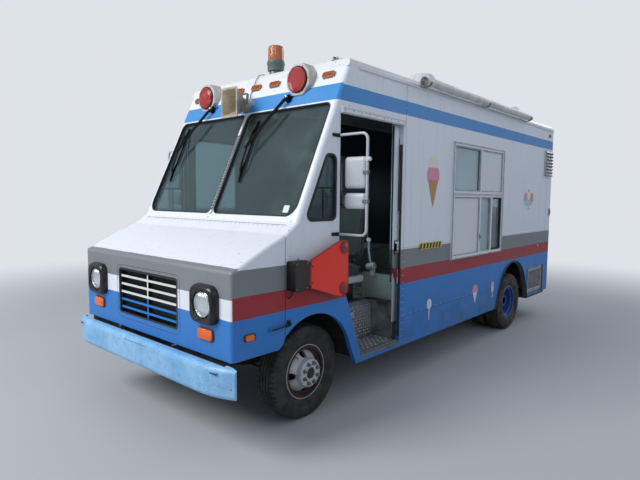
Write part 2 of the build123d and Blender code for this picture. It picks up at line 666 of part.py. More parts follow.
POCKET_X = HALF_WIDTH - WALL - 2 * DOOR_GAP - DOOR_METAL - 2
WHEELHOUSE_INNER = 500
WHEELHOUSE_REAR = 366
REAR_HOUSE_INNER = 560
REAR_HOUSE_Y = (WHEELBASE - 538, WHEELBASE + 652)
ENGINE_BAY = 345
SILL_HALF = 960
SILLS = (1300, 1900, 2500, 3100, WHEELBASE + 712, BODY_REAR - 262)
STEP_SILL = 700
STEP_METAL = 12


def step_wells():
    """The step inside each side doorway: tread, riser and rear plate."""
    bottom = SILL_TOP - STEP_METAL
    z = (bottom, FLOOR_TOP - FLOOR_METAL)
    tread = span((STEP_INNER_X, HALF_WIDTH - WALL), (STEP_FRONT + 20, DOORWAY_REAR), (bottom, SILL_TOP))
    riser = span((STEP_INNER_X - STEP_METAL, STEP_INNER_X), (STEP_FRONT, DOORWAY_REAR), z)
    end = span((STEP_INNER_X - STEP_METAL, POCKET_X), (DOORWAY_REAR, DOORWAY_REAR + STEP_METAL), z)
    return [both(tread), both(riser), both(end)]


def folded(outer, inner, x_low, x_high):
    """The flat panels of a bent sheet, between its outer and inner paths drawn as (y, z)."""
    corners = list(zip(outer, inner))
    return [across(outline([a, b, c, d]), x_low, x_high) for (a, d), (b, c) in zip(corners, corners[1:])]


def wheelhouses():
    """Inner wheel housings: a bent liner with an inner side plate at each of the four wheels."""
    wall_x = HALF_WIDTH - WALL
    metal = 10
    outer = [(-330, 955), (165, 955), (300, 860), (470, 560), (540, 400)]
    inner = [(-330, 945), (160, 945), (292, 852), (460, 556), (530, 396)]
    side_plate = across(outline(outer + [(540, 380), (-330, 380)]), WHEELHOUSE_INNER - metal, WHEELHOUSE_INNER)
    rail_space = span((0, RAIL_OUTER + 90), (-400, 600), (0, RAIL_TOP))
    panels = folded(outer, inner, WHEELHOUSE_INNER, POCKET_X) + [side_plate]
    front = [both(panel - rail_space) for panel in panels]
    low, high = REAR_HOUSE_Y
    outer = [(low, 560), (low, 900), (low + 120, 990), (high - 120, 990), (high, 900), (high, 560)]
    inner = [(low + metal, 560), (low + metal, 894), (low + 124, 980), (high - 124, 980), (high - metal, 894),
             (high - metal, 560)]
    side_plate = across(outline(outer), REAR_HOUSE_INNER, REAR_HOUSE_INNER + metal)
    panels = folded(outer, inner, REAR_HOUSE_INNER + metal, wall_x) + [side_plate]
    return assembled(*front, *[both(panel) for panel in panels])


# Nose

def nose_form(inset):
    """The nose's outer form, or its hollow when inset by the shell's thickness."""
    front = NOSE_FRONT + inset
    rear = NOSE_SEAM - NOSE_GAP + (200 if inset else 0)
    top = HOOD_FRONT_Z - inset
    bottom = NOSE_BOTTOM - (200 if inset else 0)
    hood_rear = HOOD_REAR_Z - inset + (95 if inset else 0)
    lip = ThreePointArc((front, top - 42), (front + 10, top - 19), (front + 34, top - 10))
    corner = (NOSE_SEAM - NOSE_GAP, HOOD_REAR_Z - inset)
    hood = ThreePointArc((front + 34, top - 10), (HOOD_MIDDLE[0], HOOD_MIDDLE[1] - inset), corner)
    edges = [lip, hood]
    if inset:
        rest = Polyline(corner, (rear, hood_rear), (rear, bottom), (front, bottom), (front, top - 42))
    else:
        rest = Polyline(corner, (rear, 765), (rear - 12, 728), (rear - 60, bottom), (front, bottom),
                        (front, top - 42))
    half = HALF_WIDTH - inset
    side_form = across(make_face(edges + [rest]), -half, half)
    if not inset:
        side_form = fillet([edge for edge in side_form.edges().filter_by(GeomType.CIRCLE)], HOOD_ROUND)
    plan = rectangle((-half, front), (half, rear + 400))
    plan = fillet(plan.vertices().sort_by(Axis.Y)[:2], NOSE_CORNER - inset / 2)
    return side_form & upward(plan, 0, 2000)


def nose_shell():
    """The tilting nose panel, hollow, with the grille opening and its two hinge ears."""
    shell = nose_form(0) - nose_form(NOSE_SHELL)
    shell -= span((-GRILLE_HALF_WIDTH, GRILLE_HALF_WIDTH), (NOSE_FRONT - 20, NOSE_FRONT + 60),
                  (GRILLE_BOTTOM, GRILLE_TOP))
    ear_x = (NOSE_EAR_X, NOSE_EAR_X + 16)
    ear = across(outline([(NOSE_PIVOT_Y - 8, NOSE_PIVOT_Z), (NOSE_PIVOT_Y, NOSE_PIVOT_Z - 10),
                          (NOSE_FRONT + 20, NOSE_BOTTOM - 6), (NOSE_FRONT + 20, NOSE_BOTTOM + 10),
                          (NOSE_FRONT + 1, NOSE_BOTTOM + 10)]), *ear_x)
    ear += bar((ear_x[0], NOSE_PIVOT_Y, NOSE_PIVOT_Z), (ear_x[1], NOSE_PIVOT_Y, NOSE_PIVOT_Z), 10)
    ear -= bar((ear_x[0] - 5, NOSE_PIVOT_Y, NOSE_PIVOT_Z), (ear_x[1] + 5, NOSE_PIVOT_Y, NOSE_PIVOT_Z),
               5 + RUNNING_GAP)
    return shell + both(ear)


def grille():
    """A frame behind the nose panel that carries five cross bars and one upright."""
    back = NOSE_FRONT + NOSE_SHELL
    flange = 18
    outer = rectangle((-GRILLE_HALF_WIDTH - flange, GRILLE_BOTTOM - flange),
                      (GRILLE_HALF_WIDTH + flange, GRILLE_TOP + flange))
    hole = rectangle((-GRILLE_HALF_WIDTH, GRILLE_BOTTOM), (GRILLE_HALF_WIDTH, GRILLE_TOP))
    frame = along(outer - hole, back, back + 8)
    depth = (NOSE_FRONT + GRILLE_RECESS, back + 8)
    for z in GRILLE_BARS:
        frame += span((-GRILLE_HALF_WIDTH, GRILLE_HALF_WIDTH), depth, (z - GRILLE_BAR / 2, z + GRILLE_BAR / 2))
    frame += span((-8, 8), depth, (GRILLE_BOTTOM, GRILLE_TOP))
    frame += both(span((GRILLE_HALF_WIDTH - 6, GRILLE_HALF_WIDTH), (back, back + 8), (GRILLE_BOTTOM, GRILLE_TOP)))
    return frame


def headlights():
    """Rounded square surrounds with a round sealed-beam lens in each."""
    low = (LAMP_X - BEZEL_WIDTH / 2, LAMP_Z - BEZEL_HEIGHT / 2)
    high = (LAMP_X + BEZEL_WIDTH / 2, LAMP_Z + BEZEL_HEIGHT / 2)
    body = along(rectangle(low, high, BEZEL_ROUND), NOSE_FRONT - BEZEL_DEPTH, NOSE_FRONT)
    well = along(Pos(LAMP_X, LAMP_Z) * Circle(LENS_RADIUS + 12), NOSE_FRONT - BEZEL_DEPTH - 1, NOSE_FRONT - 8)
    rim_y = NOSE_FRONT - LENS_OUT
    lens = along(Pos(LAMP_X, LAMP_Z) * Circle(LENS_RADIUS), rim_y, NOSE_FRONT - 8)
    bulge_radius = 230
    bulge = Pos(LAMP_X, rim_y + sqrt(bulge_radius**2 - LENS_RADIUS**2), LAMP_Z) * Sphere(bulge_radius)
    front = along(Pos(LAMP_X, LAMP_Z) * Circle(LENS_RADIUS), rim_y - 40, rim_y)
    return both(body - well + lens + (bulge & front))


def turn_signals():
    """Amber lamps under the headlights and one on each side of the nose."""
    low = (LAMP_X - TURN_WIDTH / 2, TURN_Z - TURN_HEIGHT / 2)
    high = (LAMP_X + TURN_WIDTH / 2, TURN_Z + TURN_HEIGHT / 2)
    lamp = along(rectangle(low, high, 30), NOSE_FRONT - 22, NOSE_FRONT)
    side_lamp = across(rectangle((-775, 820), (-667, 870), 15), HALF_WIDTH, HALF_WIDTH + 18)
    return both(lamp) + both(side_lamp)


# Doors and glass

def sliding_door(side):
    """A side door, drawn closed on the left, with two rollers that hang it in the rail."""
    outer = HALF_WIDTH - WALL - DOOR_GAP
    points = doorway_outline(DOOR_LAP, DOOR_BOTTOM)
    points[0] = (points[0][0], DOOR_TOP)
    points[-1] = (points[-1][0], DOOR_TOP)
    window = rectangle(*zip(*DOOR_WINDOW), 60)
    panel = across(outline(points) - window, outer - DOOR_METAL, outer)
    middle = outer - DOOR_METAL / 2
    axle_z = DOOR_RAIL_LIP + RUNNING_GAP + ROLLER_RADIUS
    for y in ROLLER_PLACES:
        panel += span((middle - 3, middle + 3), (y - 25, y + 25), (DOOR_TOP, axle_z + 10))
        panel += bar((middle - 14, y, axle_z), (middle + 14, y, axle_z), ROLLER_RADIUS)
    handle = span((outer, outer + 26), (DOORWAY_FRONT + 7, DOORWAY_FRONT + 42), (1280, 1390))
    return sided(panel + handle, side)


DOOR_RAIL_LIP = 2518


def door_glass(side):
    """The pane of a side door, drawn closed on the left."""
    outer = HALF_WIDTH - WALL - DOOR_GAP - DOOR_METAL / 2
    return sided(across(rectangle(*zip(*DOOR_WINDOW), 60), outer - GLASS / 2, outer + GLASS / 2), side)


def door_rail():
    """Channel over the left side doorway, slotted below for the door's rollers."""
    wall_x = HALF_WIDTH - WALL
    middle = wall_x - DOOR_GAP - DOOR_METAL / 2
    metal = 6
    y = (DOORWAY_FRONT + DOOR_LAP, DOORWAY_REAR + DOOR_TRAVEL + DOOR_LAP)
    low = DOOR_RAIL_LIP - metal
    high = DOOR_RAIL_LIP + 2 * ROLLER_RADIUS + 20
    rail = span((middle - 26, wall_x), y, (low, high))
    rail -= span((middle - 20, middle + 20 - 3), (y[0] + metal, y[1] - metal), (DOOR_RAIL_LIP, high - metal))
    rail -= span((middle - RAIL_SLOT / 2, middle + RAIL_SLOT / 2), (y[0] + metal, y[1] - metal),
                 (low - 1, DOOR_RAIL_LIP + 1))
    return rail


def body_glass():
    """All fixed glass: windshield panes, quarter windows and the clear serving panes."""
    glass = both(on_screen(windshield_pane(), -WALL / 2 - GLASS, -WALL / 2))
    middle = HALF_WIDTH - WALL / 2
    glass += both(across(outline(QUARTER_WINDOW, 45), middle - GLASS, middle))
    for front, rear, low, high, clear in PANES:
        if clear:
            glass += both(across(rectangle((front, low), (rear, high)), middle - GLASS, middle))
    return glass


def serving_windows():
    """Window frames in the side walls, with their white blank panels."""
    (front, rear), (low, high) = SERVING
    frame = across(rectangle((front, low), (rear, high)), HALF_WIDTH, HALF_WIDTH + 14)
    frame += across(rectangle((front + 20, low + 20), (rear - 20, high - 20)), HALF_WIDTH - WALL, HALF_WIDTH)
    middle = HALF_WIDTH - WALL / 2
    for pane_front, pane_rear, pane_low, pane_high, clear in PANES:
        hole = rectangle((pane_front, pane_low), (pane_rear, pane_high))
        if clear:
            frame -= across(hole, HALF_WIDTH - WALL - 1, HALF_WIDTH + 20)
        else:
            frame -= across(hole, HALF_WIDTH - 8, HALF_WIDTH + 20)
            frame -= across(hole, HALF_WIDTH - WALL - 1, middle)
    return both(frame)


# Outside fittings

def bumper_form(inset):
    """The bumper's outer form, bowed back at its ends, or its hollow when inset by the metal."""
    half, front, end = BUMPER_HALF - inset, BUMPER_FRONT + inset, BUMPER_END_Y
    sweep_x, sweep_y = half - BUMPER_STRAIGHT, end - front
    bow = (sweep_x**2 + sweep_y**2) / (2 * sweep_y)
    middle_x = sweep_x * 0.6
    middle = (BUMPER_STRAIGHT + middle_x, front + bow - sqrt(bow**2 - middle_x**2))
    rear = BUMPER_WRAP + (1 if inset else 0)
    edges = [
        Line((-BUMPER_STRAIGHT, front), (BUMPER_STRAIGHT, front)),
        ThreePointArc((BUMPER_STRAIGHT, front), middle, (half, end)),
        Polyline((half, end), (half, rear), (-half, rear), (-half, end)),
        ThreePointArc((-half, end), (-middle[0], middle[1]), (-BUMPER_STRAIGHT, front)),
    ]
    form = upward(make_face(edges), BUMPER_BOTTOM + inset, BUMPER_TOP - inset)
    faces = form.faces().filter_by(Axis.Z)
    front_edges = [edge for face in faces for edge in face.edges() if edge.center().Y < end]
    return fillet(front_edges, BUMPER_ROUND - inset)


def front_bumper():
    """A deep channel bumper with rounded edges, bowed in plan, whose ends wrap back beside the nose."""
    bumper = bumper_form(0) - bumper_form(BUMPER_METAL)
    bumper -= span((-1040, 1040), (NOSE_PIVOT_Y - 24, BUMPER_WRAP + 5), (BUMPER_BOTTOM - 5, BUMPER_TOP + 5))
    x, z = PLATE_SPACING / 2, PLATE_HEIGHT
    return bumper - both(bar((x, BUMPER_FRONT - 5, z), (x, BUMPER_FRONT + BUMPER_METAL + 5, z), PLATE_SCREW))


def rear_step():
    """A folded step bumper behind the rear doors, with a hole for a tow ball."""
    low = STEP_TOP - STEP_DROP
    step = span((-1000, 1000), (BODY_REAR + 8, STEP_REAR), (low, STEP_TOP))
    step -= span((-990, 990), (BODY_REAR + 7, STEP_REAR - BUMPER_METAL), (low - 1, STEP_TOP - BUMPER_METAL))
    ball = (0, (BODY_REAR + STEP_REAR) / 2 + 4)
    return step - bar((*ball, STEP_TOP - 30), (*ball, STEP_TOP + 5), BALL_HOLE)


MIRROR_Y = 200
MIRROR_OUT = 290
MIRROR_TOP = 2293
MIRROR_BOTTOM = 1508
MIRROR_HEADS = ((1872, 2117), (1712, 1836))


def mirrors():
    """A bent tube on each front door post, with a large and a small mirror head."""
    inner_x = HALF_WIDTH
    outer_x = HALF_WIDTH + MIRROR_OUT
    path = FilletPolyline((inner_x, MIRROR_Y, MIRROR_TOP), (outer_x, MIRROR_Y, MIRROR_TOP),
                          (outer_x, MIRROR_Y, MIRROR_BOTTOM), (inner_x, MIRROR_Y, MIRROR_BOTTOM), radius=50)
    arm = sweep(Plane(origin=path @ 0, z_dir=path % 0) * Circle(11), path)
    for low, high in MIRROR_HEADS:
        arm += along(rectangle((outer_x - 215, low), (outer_x - 14, high), 28), MIRROR_Y - 12, MIRROR_Y + 24)
        middle = (low + high) / 2
        arm += bar((outer_x - 20, MIRROR_Y, middle), (outer_x, MIRROR_Y, middle), 8)
    return both(arm)


WIPER_PIVOTS = ((513, WALL_TOP - 222), (-577, WALL_TOP - 202))
WIPER_REACH = (-315, -470)
WIPER_BLADE = ((-8, 300), (18, -315))


def wipers():
    """Two wipers hung from the header: gearbox, arm and blade."""
    node = None
    for x, z in WIPER_PIVOTS:
        rise = screen_rise(z)
        tip = (x + WIPER_REACH[0], rise + WIPER_REACH[1])
        high, low = ((tip[0] + across_x, tip[1] + along_rise, 24) for across_x, along_rise in WIPER_BLADE)
        wiper = on_screen(rectangle((x - 24, rise - 30), (x + 24, rise + 30), 12), 0, 52)
        arm = bar((x, rise, 38), (tip[0], tip[1], 38), 8) + bar((tip[0], tip[1], 18), (tip[0], tip[1], 42), 8)
        wiper += SCREEN * (arm + bar(high, low, 7))
        node = wiper if node is None else node + wiper
    return node


WARNING_X = (607, -685)
WARNING_Z = WALL_TOP - 65


def warning_lamps():
    """Two round red lamps on eight-sided housings that stand off the header."""
    header = header_wedge()
    node = None
    for x in WARNING_X:
        housing = along(Pos(x, WARNING_Z) * RegularPolygon(144, 8, rotation=22.5), 218, 400) - header
        lamp = housing + along(Pos(x, WARNING_Z) * Circle(105), 190, 218)
        node = lamp if node is None else node + lamp
    return node


def header_wedge():
    """Everything behind the windshield plane, to cut fittings to their seat on it."""
    low, high = 2300, 3100
    points = [(screen_y(low), low), (screen_y(high), high), (1500, high), (1500, low)]
    return across(outline(points), -1200, 1200)


MARKERS = ((-250, WALL_TOP - 48), (0, WALL_TOP - 47), (250, WALL_TOP - 48), (-900, WALL_TOP - 62),
           (900, WALL_TOP - 62))
MARKER_HALF = (70, 32)


def marker_lamps():
    """Small amber lamps on the header and the rear corners."""
    node = None
    half_x, half_rise = MARKER_HALF
    for x, z in MARKERS:
        rise = screen_rise(z)
        lamp = on_screen(rectangle((x - half_x, rise - half_rise), (x + half_x, rise + half_rise), 24), 0, 28)
        node = lamp if node is None else node + lamp
    rear = rectangle((BODY_REAR - 190, WALL_TOP - 104), (BODY_REAR - 130, WALL_TOP - 60), 10)
    rear = across(rear, HALF_WIDTH, HALF_WIDTH + 18)
    return node + both(rear) + tail_lamps()


def tail_lamps():
    """Red and clear lamps on the rear wall."""
    y = (BODY_REAR, BODY_REAR + 24)
    lamp = along(rectangle((800, 900), (960, 1060), 30), *y)
    lamp += along(rectangle((800, 720), (960, 860), 30), *y)
    lamp += along(rectangle((860, WALL_TOP - 142), (960, WALL_TOP - 98), 14), *y)
    return both(lamp)


HORN = ((-45, WALL_TOP - 212), 215, 255)


def loudspeaker():
    """A rectangular horn that faces forward, tapering back to its driver on the header."""
    (x, z), width, height = HORN
    mouth_y, throat_y, driver_y = 0, 135, 330
    rings = [(mouth_y, width, height), (throat_y, 90, 120)]
    sections = [Pos(x, y, z) * (Plane.XZ * Rectangle(w, h)) for y, w, h in rings]
    flare = loft(sections)
    sections = [Pos(x, y, z) * (Plane.XZ * Rectangle(w - 16, h - 16)) for y, w, h in rings]
    hollow = Pos(0, -6, 0) * loft(sections)
    horn = flare - hollow
    driver = bar((x, throat_y, z), (x, driver_y, z), 62) - header_wedge()
    return horn + driver


BEACON_Y = 540


def beacon():
    """A rotating beacon: dark foot, dark collar and amber dome."""
    base = ROOF_CROWN - 14
    foot = Pos(0, BEACON_Y, base) * Cylinder(95, 100, align=(Align.CENTER, Align.CENTER, Align.MIN))
    roof_cut = span((-200, 200), (BEACON_Y - 200, BEACON_Y + 200), (base - 1, ROOF_CROWN + 1))
    foot = foot - roof_cut
    foot += Pos(0, BEACON_Y, ROOF_CROWN) * Cylinder(82, 160, align=(Align.CENTER, Align.CENTER, Align.MIN))
    return foot + beacon_dome()


def beacon_dome():
    """The amber dome of the beacon."""
    dome = Pos(0, BEACON_Y, ROOF_CROWN + 160) * Cylinder(77, 140, align=(Align.CENTER, Align.CENTER, Align.MIN))
    return fillet(dome.edges().sort_by(Axis.Z)[-1], 22)


AWNING_Y = (1420, 4300)
AWNING_Z = WALL_TOP + 62
AWNING_RADIUS = 46


def awning():
    """A rolled awning along the left roof edge, on brackets that stand off the wall."""
    x = HALF_WIDTH + 6 + AWNING_RADIUS
    roll = bar((x, AWNING_Y[0], AWNING_Z), (x, AWNING_Y[1], AWNING_Z), AWNING_RADIUS)
    for y in (AWNING_Y[0] + 60, (AWNING_Y[0] + AWNING_Y[1]) / 2, AWNING_Y[1] - 60):
        roll += span((HALF_WIDTH, x), (y - 20, y + 20), (WALL_TOP + 9, WALL_TOP + 22))
    return roll


VENTS_Y = (2100, 4700)
VENT_X = 700


def roof_vents():
    """Two domed roof ventilators."""
    node = None
    for y in VENTS_Y:
        foot = bar((VENT_X, y, ROOF_CROWN - 30), (VENT_X, y, ROOF_CROWN + 90), 150)
        cap = Pos(VENT_X, y, ROOF_CROWN + 135) * Cone(215, 120, 130)
        vent = foot + cap
        node = vent if node is None else node + vent
    return node - roof()


def side_vents():
    """Louvred vent high at the left rear and the framed mesh door behind the rear wheel."""
    (front, rear), (low, high) = VENT
    vent = across(rectangle((front, low), (rear, high)), HALF_WIDTH, HALF_WIDTH + 10)
    slats = 8
    pitch = (high - low) / slats
    for index in range(slats):
        foot = low + index * pitch
        slat = outline([(0, foot + 6), (28, foot + 10), (28, foot + 16), (0, foot + pitch - 8)])
        vent += along(Pos(HALF_WIDTH + 8, 0) * slat, front + 14, rear - 14)
    (front, rear), (low, high) = MESH_DOOR
    panel = rectangle((front, low), (rear, high))
    mesh = across(panel, HALF_WIDTH - 24, HALF_WIDTH - 12)
    frame = panel - rectangle((front + 30, low + 30), (rear - 30, high - 30))
    return vent + mesh + across(frame, HALF_WIDTH - 12, HALF_WIDTH + 4)


def stop_box():
    """The drive housing of the stop sign on the left wall, with the fixed part of the hinge."""
    (front, rear), (low, high) = SIGN_BOX
    body = across(rectangle((front, low), (rear, high), 12), HALF_WIDTH, HALF_WIDTH + SIGN_STANDOFF)
    x = HALF_WIDTH + SIGN_STANDOFF - SIGN_METAL / 2
    post = bar((x, SIGN_HINGE_Y, low + 20), (x, SIGN_HINGE_Y, high - 20), 5)
    for z in (low + 20, high - 32):
        post += span((x - 6, x + 6), (SIGN_BOX[0][1], SIGN_HINGE_Y), (z, z + 12))
    return body + post


SIGN_OUTLINE = ((-200, 1126), (-200, 1336), (146, 1467), (249, 1453), (249, 1037), (150, 1012))


def stop_sign():
    """A blank six-sided sign with a lamp at each rear corner, which turns about its front edge."""
    x = HALF_WIDTH + SIGN_STANDOFF
    sign = across(outline(SIGN_OUTLINE), x - SIGN_METAL, x)
    middle = x - SIGN_METAL / 2
    for y, z in ((197, 1405), (197, 1080)):
        sign += bar((middle - 34, y, z), (middle + 34, y, z), 50)
    low, high = SIGN_BOX[1]
    sleeve = (low + 32 + RUNNING_GAP, high - 32 - RUNNING_GAP)
    sign += bar((middle, SIGN_HINGE_Y, sleeve[0]), (middle, SIGN_HINGE_Y, sleeve[1]), 9)
    return sign - bar((middle, SIGN_HINGE_Y, low), (middle, SIGN_HINGE_Y, high), 5 + RUNNING_GAP)


# Inside

def dashboard():
    """Dash panel across the cab with the steering column on the left."""
    inner = HALF_WIDTH - WALL
    back = NOSE_SEAM + WALL
    panel = across(outline([(back, 1230), (back, 1493), (-110, 1480), (-60, 1420), (-90, 1230)]), -inner, inner)
    column = bar(COLUMN_FOOT, COLUMN_TOP, 28)
    return panel + column


COLUMN_X = HALF_WIDTH - 563
COLUMN_FOOT = (COLUMN_X, -130, 1300)
COLUMN_TOP = (COLUMN_X, 215, 1500)
STEERING_WHEEL_RADIUS = 225


def steering_wheel():
    """A two-spoke steering wheel on the top of its column."""
    tilt = Vector(*COLUMN_TOP) - Vector(*COLUMN_FOOT)
    seat = Plane(origin=COLUMN_TOP, z_dir=tilt, x_dir=(1, 0, 0))
    rim = Pos(0, 0, 45) * Torus(STEERING_WHEEL_RADIUS, 14)
    hub = Pos(0, 0, RUNNING_GAP) * Cylinder(38, 60, align=(Align.CENTER, Align.CENTER, Align.MIN))
    spokes = Pos(0, 0, 45) * (Box(2 * STEERING_WHEEL_RADIUS, 34, 10) - Cylinder(30, 20))
    return seat * (rim + hub + spokes)


def engine_cover():
    """The box over the engine between the seats."""
    front = NOSE_SEAM + WALL
    outer = [(front, FLOOR_TOP), (front, 1215), (380, 1215), (600, 1080), (600, FLOOR_TOP)]
    inner = [(front - 1, FLOOR_TOP - 1), (front - 1, 1190), (368, 1190), (575, 1064), (575, FLOOR_TOP - 1)]
    return across(outline(outer), -375, 375) - across(outline(inner), -350, 350)


SEAT_TOP = 1155


def driver_seat():
    """Seat on a pedestal behind the steering wheel."""
    top = SEAT_TOP - 130
    pedestal = span((COLUMN_X - 130, COLUMN_X + 130), (700, 980), (FLOOR_TOP, top))
    cushion = span((COLUMN_X - 225, COLUMN_X + 225), (600, 1050), (top, SEAT_TOP))
    cushion = fillet(cushion.edges(), 30)
    foot, head = SEAT_TOP + 5, SEAT_TOP + 590
    back = outline([(990, foot), (1070, foot), (1150, head - 20), (1080, head)], 30)
    rest = across(back, COLUMN_X - 215, COLUMN_X + 215)
    frame = span((COLUMN_X - 60, COLUMN_X + 60), (1050, 1075), (top + 20, SEAT_TOP + 30))
    return pedestal + cushion + rest + frame


def cabinets():
    """Serving counter on the left, chest freezer with two lids on the right, low screen behind the driver."""
    y = (2200, REAR_HOUSE_Y[0] - 30)
    outer_x = HALF_WIDTH - WALL - 4
    counter = span((560, outer_x), y, (FLOOR_TOP, 1080))
    counter += span((530, outer_x), (y[0] - 20, y[1] + 10), (1080, 1110))
    freezer = span((-outer_x, -420), y, (FLOOR_TOP, 1080))
    lid = (y[1] - y[0]) / 2 - 70
    for front in (y[0] + 40, y[1] - 40 - lid):
        freezer += span((-outer_x + 40, -460), (front, front + lid), (1080, 1110))
    screen = span((610, 965), (1178, 1198), (FLOOR_TOP, 1050))
    screen += span((610, 635), (1170, 1178), (FLOOR_TOP, 1050))
    return assembled(counter, freezer, screen)


def placed_wheel(shape, x, y, side):
    """A wheel drawn about the X axis, put on its hub with its outer face outward."""
    return sided(Pos(x, y, WHEEL_HEIGHT) * shape, side)


def twin_tyres():
    """The two rear tyres of one side, about the X axis."""
    half = DUAL_SPACING / 2
    return Pos(-half, 0, 0) * tyre() + Pos(half, 0, 0) * tyre()


parts = {
    "chassis_frame": chassis_frame(),
    "front_axle": front_axle(),
    "rear_axle": rear_axle(),
    "leaf_springs": leaf_springs(),
    "driveline": driveline(),
    "fuel_tank": fuel_tank(),
    "exhaust": exhaust(),
    "tie_rod": tie_rod(),
    "floor": floor(),
    "wheelhouses": wheelhouses(),
    "cowl": cowl(),
    "roof": roof(),
    "rear_wall": rear_wall(),
    "body_glass": body_glass(),
    "serving_windows": serving_windows(),
    "front_bumper": front_bumper(),
    "rear_step": rear_step(),
    "mirrors": mirrors(),
    "wipers": wipers(),
    "warning_lamps": warning_lamps(),
    "marker_lamps": marker_lamps(),
    "loudspeaker": loudspeaker(),
    "beacon": beacon(),
    "awning": awning(),
    "roof_vents": roof_vents(),
    "side_vents": side_vents(),
    "stop_box": stop_box(),
    "stop_sign": stop_sign(),
    "dashboard": dashboard(),
    "steering_wheel": steering_wheel(),
    "engine_cover": engine_cover(),
    "driver_seat": driver_seat(),
    "cabinets": cabinets(),
    "nose_shell": nose_shell(),
    "grille": grille(),
    "headlights": headlights(),
    "turn_signals": turn_signals(),
}

for name, side in SIDES.items():
    opened = Pos(0, DOOR_TRAVEL, 0) if name == "left" else Pos(0, 0, 0)
    parts["side_wall_" + name] = side_wall(side)
    parts["door_" + name] = opened * sliding_door(side)
    parts["door_glass_" + name] = opened * door_glass(side)
    parts["rear_door_" + name] = rear_door(side)
    parts["rear_glass_" + name] = sided(along(rear_window(), BODY_REAR - 22, BODY_REAR - 16), side)
    parts["knuckle_" + name] = knuckle(side)
    parts["front_tyre_" + name] = placed_wheel(tyre(), FRONT_TRACK_HALF, 0, side)
    parts["front_rim_" + name] = placed_wheel(front_rim(), FRONT_TRACK_HALF, 0, side)
    parts["rear_tyres_" + name] = placed_wheel(twin_tyres(), REAR_DUAL_CENTRE, WHEELBASE, side)
    parts["rear_rims_" + name] = placed_wheel(rear_rims(), REAR_DUAL_CENTRE, WHEELBASE, side)

for name, shape in parts.items():
    export_step(Pos(0, -MID_Y, 0) * shape, "parts/" + name + ".step")
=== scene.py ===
"""Looks of the ice cream truck: finishes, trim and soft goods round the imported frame.

Places are in metres: X to the truck's left, Y rearward from the front axle and Z up from the ground.
"""
import json
import math

import bmesh
import bpy
from mathutils import Matrix, Vector


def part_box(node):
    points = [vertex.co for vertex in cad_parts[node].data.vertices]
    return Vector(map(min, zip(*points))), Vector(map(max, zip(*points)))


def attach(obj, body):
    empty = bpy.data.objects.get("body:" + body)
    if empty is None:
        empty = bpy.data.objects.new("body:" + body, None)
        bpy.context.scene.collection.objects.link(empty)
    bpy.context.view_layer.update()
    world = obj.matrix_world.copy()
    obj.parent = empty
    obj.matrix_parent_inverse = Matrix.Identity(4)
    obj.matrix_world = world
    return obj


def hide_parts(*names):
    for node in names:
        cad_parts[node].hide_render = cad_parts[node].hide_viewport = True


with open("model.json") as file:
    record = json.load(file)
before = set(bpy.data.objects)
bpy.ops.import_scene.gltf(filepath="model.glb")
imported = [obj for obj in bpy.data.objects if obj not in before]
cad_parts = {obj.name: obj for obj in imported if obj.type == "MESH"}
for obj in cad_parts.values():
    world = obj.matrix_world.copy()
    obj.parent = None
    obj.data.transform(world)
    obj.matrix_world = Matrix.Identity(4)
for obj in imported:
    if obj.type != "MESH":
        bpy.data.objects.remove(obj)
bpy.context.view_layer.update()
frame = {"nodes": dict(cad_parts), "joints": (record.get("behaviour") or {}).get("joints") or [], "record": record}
NODES = frame["nodes"]
BODIES = frame["record"]["behaviour"]["bodies"]
HUBS = {joint["name"]: joint["pos_m"] for joint in frame["joints"] if "pos_m" in joint}
FRONT_HUB_X, AXLE_Y, WHEEL_Z = HUBS["front_wheel_left_spin"]
LEFT, RIGHT = 1, -1
SIDE_NAMES = {LEFT: "left", RIGHT: "right"}


def box(node):
    """A CAD node's lowest and highest corners, with Y from the front axle."""
    shift = Vector((0, AXLE_Y, 0))
    low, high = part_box(node)
    return low - shift, high - shift


# Driving dimensions
WALL_X = box("stop_box")[0].x
TYRE_RADIUS = WHEEL_Z
TYRE_HALF = (box("front_tyre_left")[1].x - box("front_tyre_left")[0].x) / 2
REAR_HUB_X = HUBS["rear_wheels_left_spin"][0]
REAR_AXLE_Y = HUBS["rear_wheels_left_spin"][1] - AXLE_Y
DUAL_HALF = 0.125
NOSE_FRONT = box("nose_shell")[0].y + 0.023
SEAM_Y = -0.383
HOOD_REAR_Z = box("nose_shell")[1].z
BODY_REAR = box("side_wall_left")[1].y
TOP_Z = 2.862

# Windshield plane
SCREEN_FOOT_Y = -0.264
SCREEN_FOOT_Z = 1.611
SCREEN_SLOPE = 0.4687
SCREEN_STRETCH = math.hypot(1, SCREEN_SLOPE)

# Camera, found from the photo's straight edges
CAMERA_PLACE = (3.653, -2.917, 1.800)
CAMERA_AZIMUTH = 41.51
CAMERA_ELEVATION = 4.842
CAMERA_ROLL = 0.529
FOCAL_PIXELS = 502.2
PHOTO_WIDTH = 640
SENSOR = 36.0

# Paint colours as they look in plain light, sRGB
WHITE = "#e2e6ee"
BLUE = "#0f74c4"
STRIPE = "#3488cc"
RED = "#9a0818"
GREY = "#7a7f83"
SKY = "#74aedc"
# Bare grey of the inside faces, darkened as painted shade of the dark interior
INSIDE_GREY_AND_SHADE = "#4d5356"
GRIME = "#4a4238"
RUST = "#5a3018"
BACKDROP = "#dfe3e8"

# Pitch of the prisms in a moulded lens
PRISM = 0.007


# Node materials

def rgb(code):
    """Linear colour from an sRGB hex code."""
    parts = [int(code[i:i + 2], 16) / 255 for i in (1, 3, 5)]
    return tuple(p / 12.92 if p <= 0.04045 else ((p + 0.055) / 1.055) ** 2.4 for p in parts) + (1.0,)


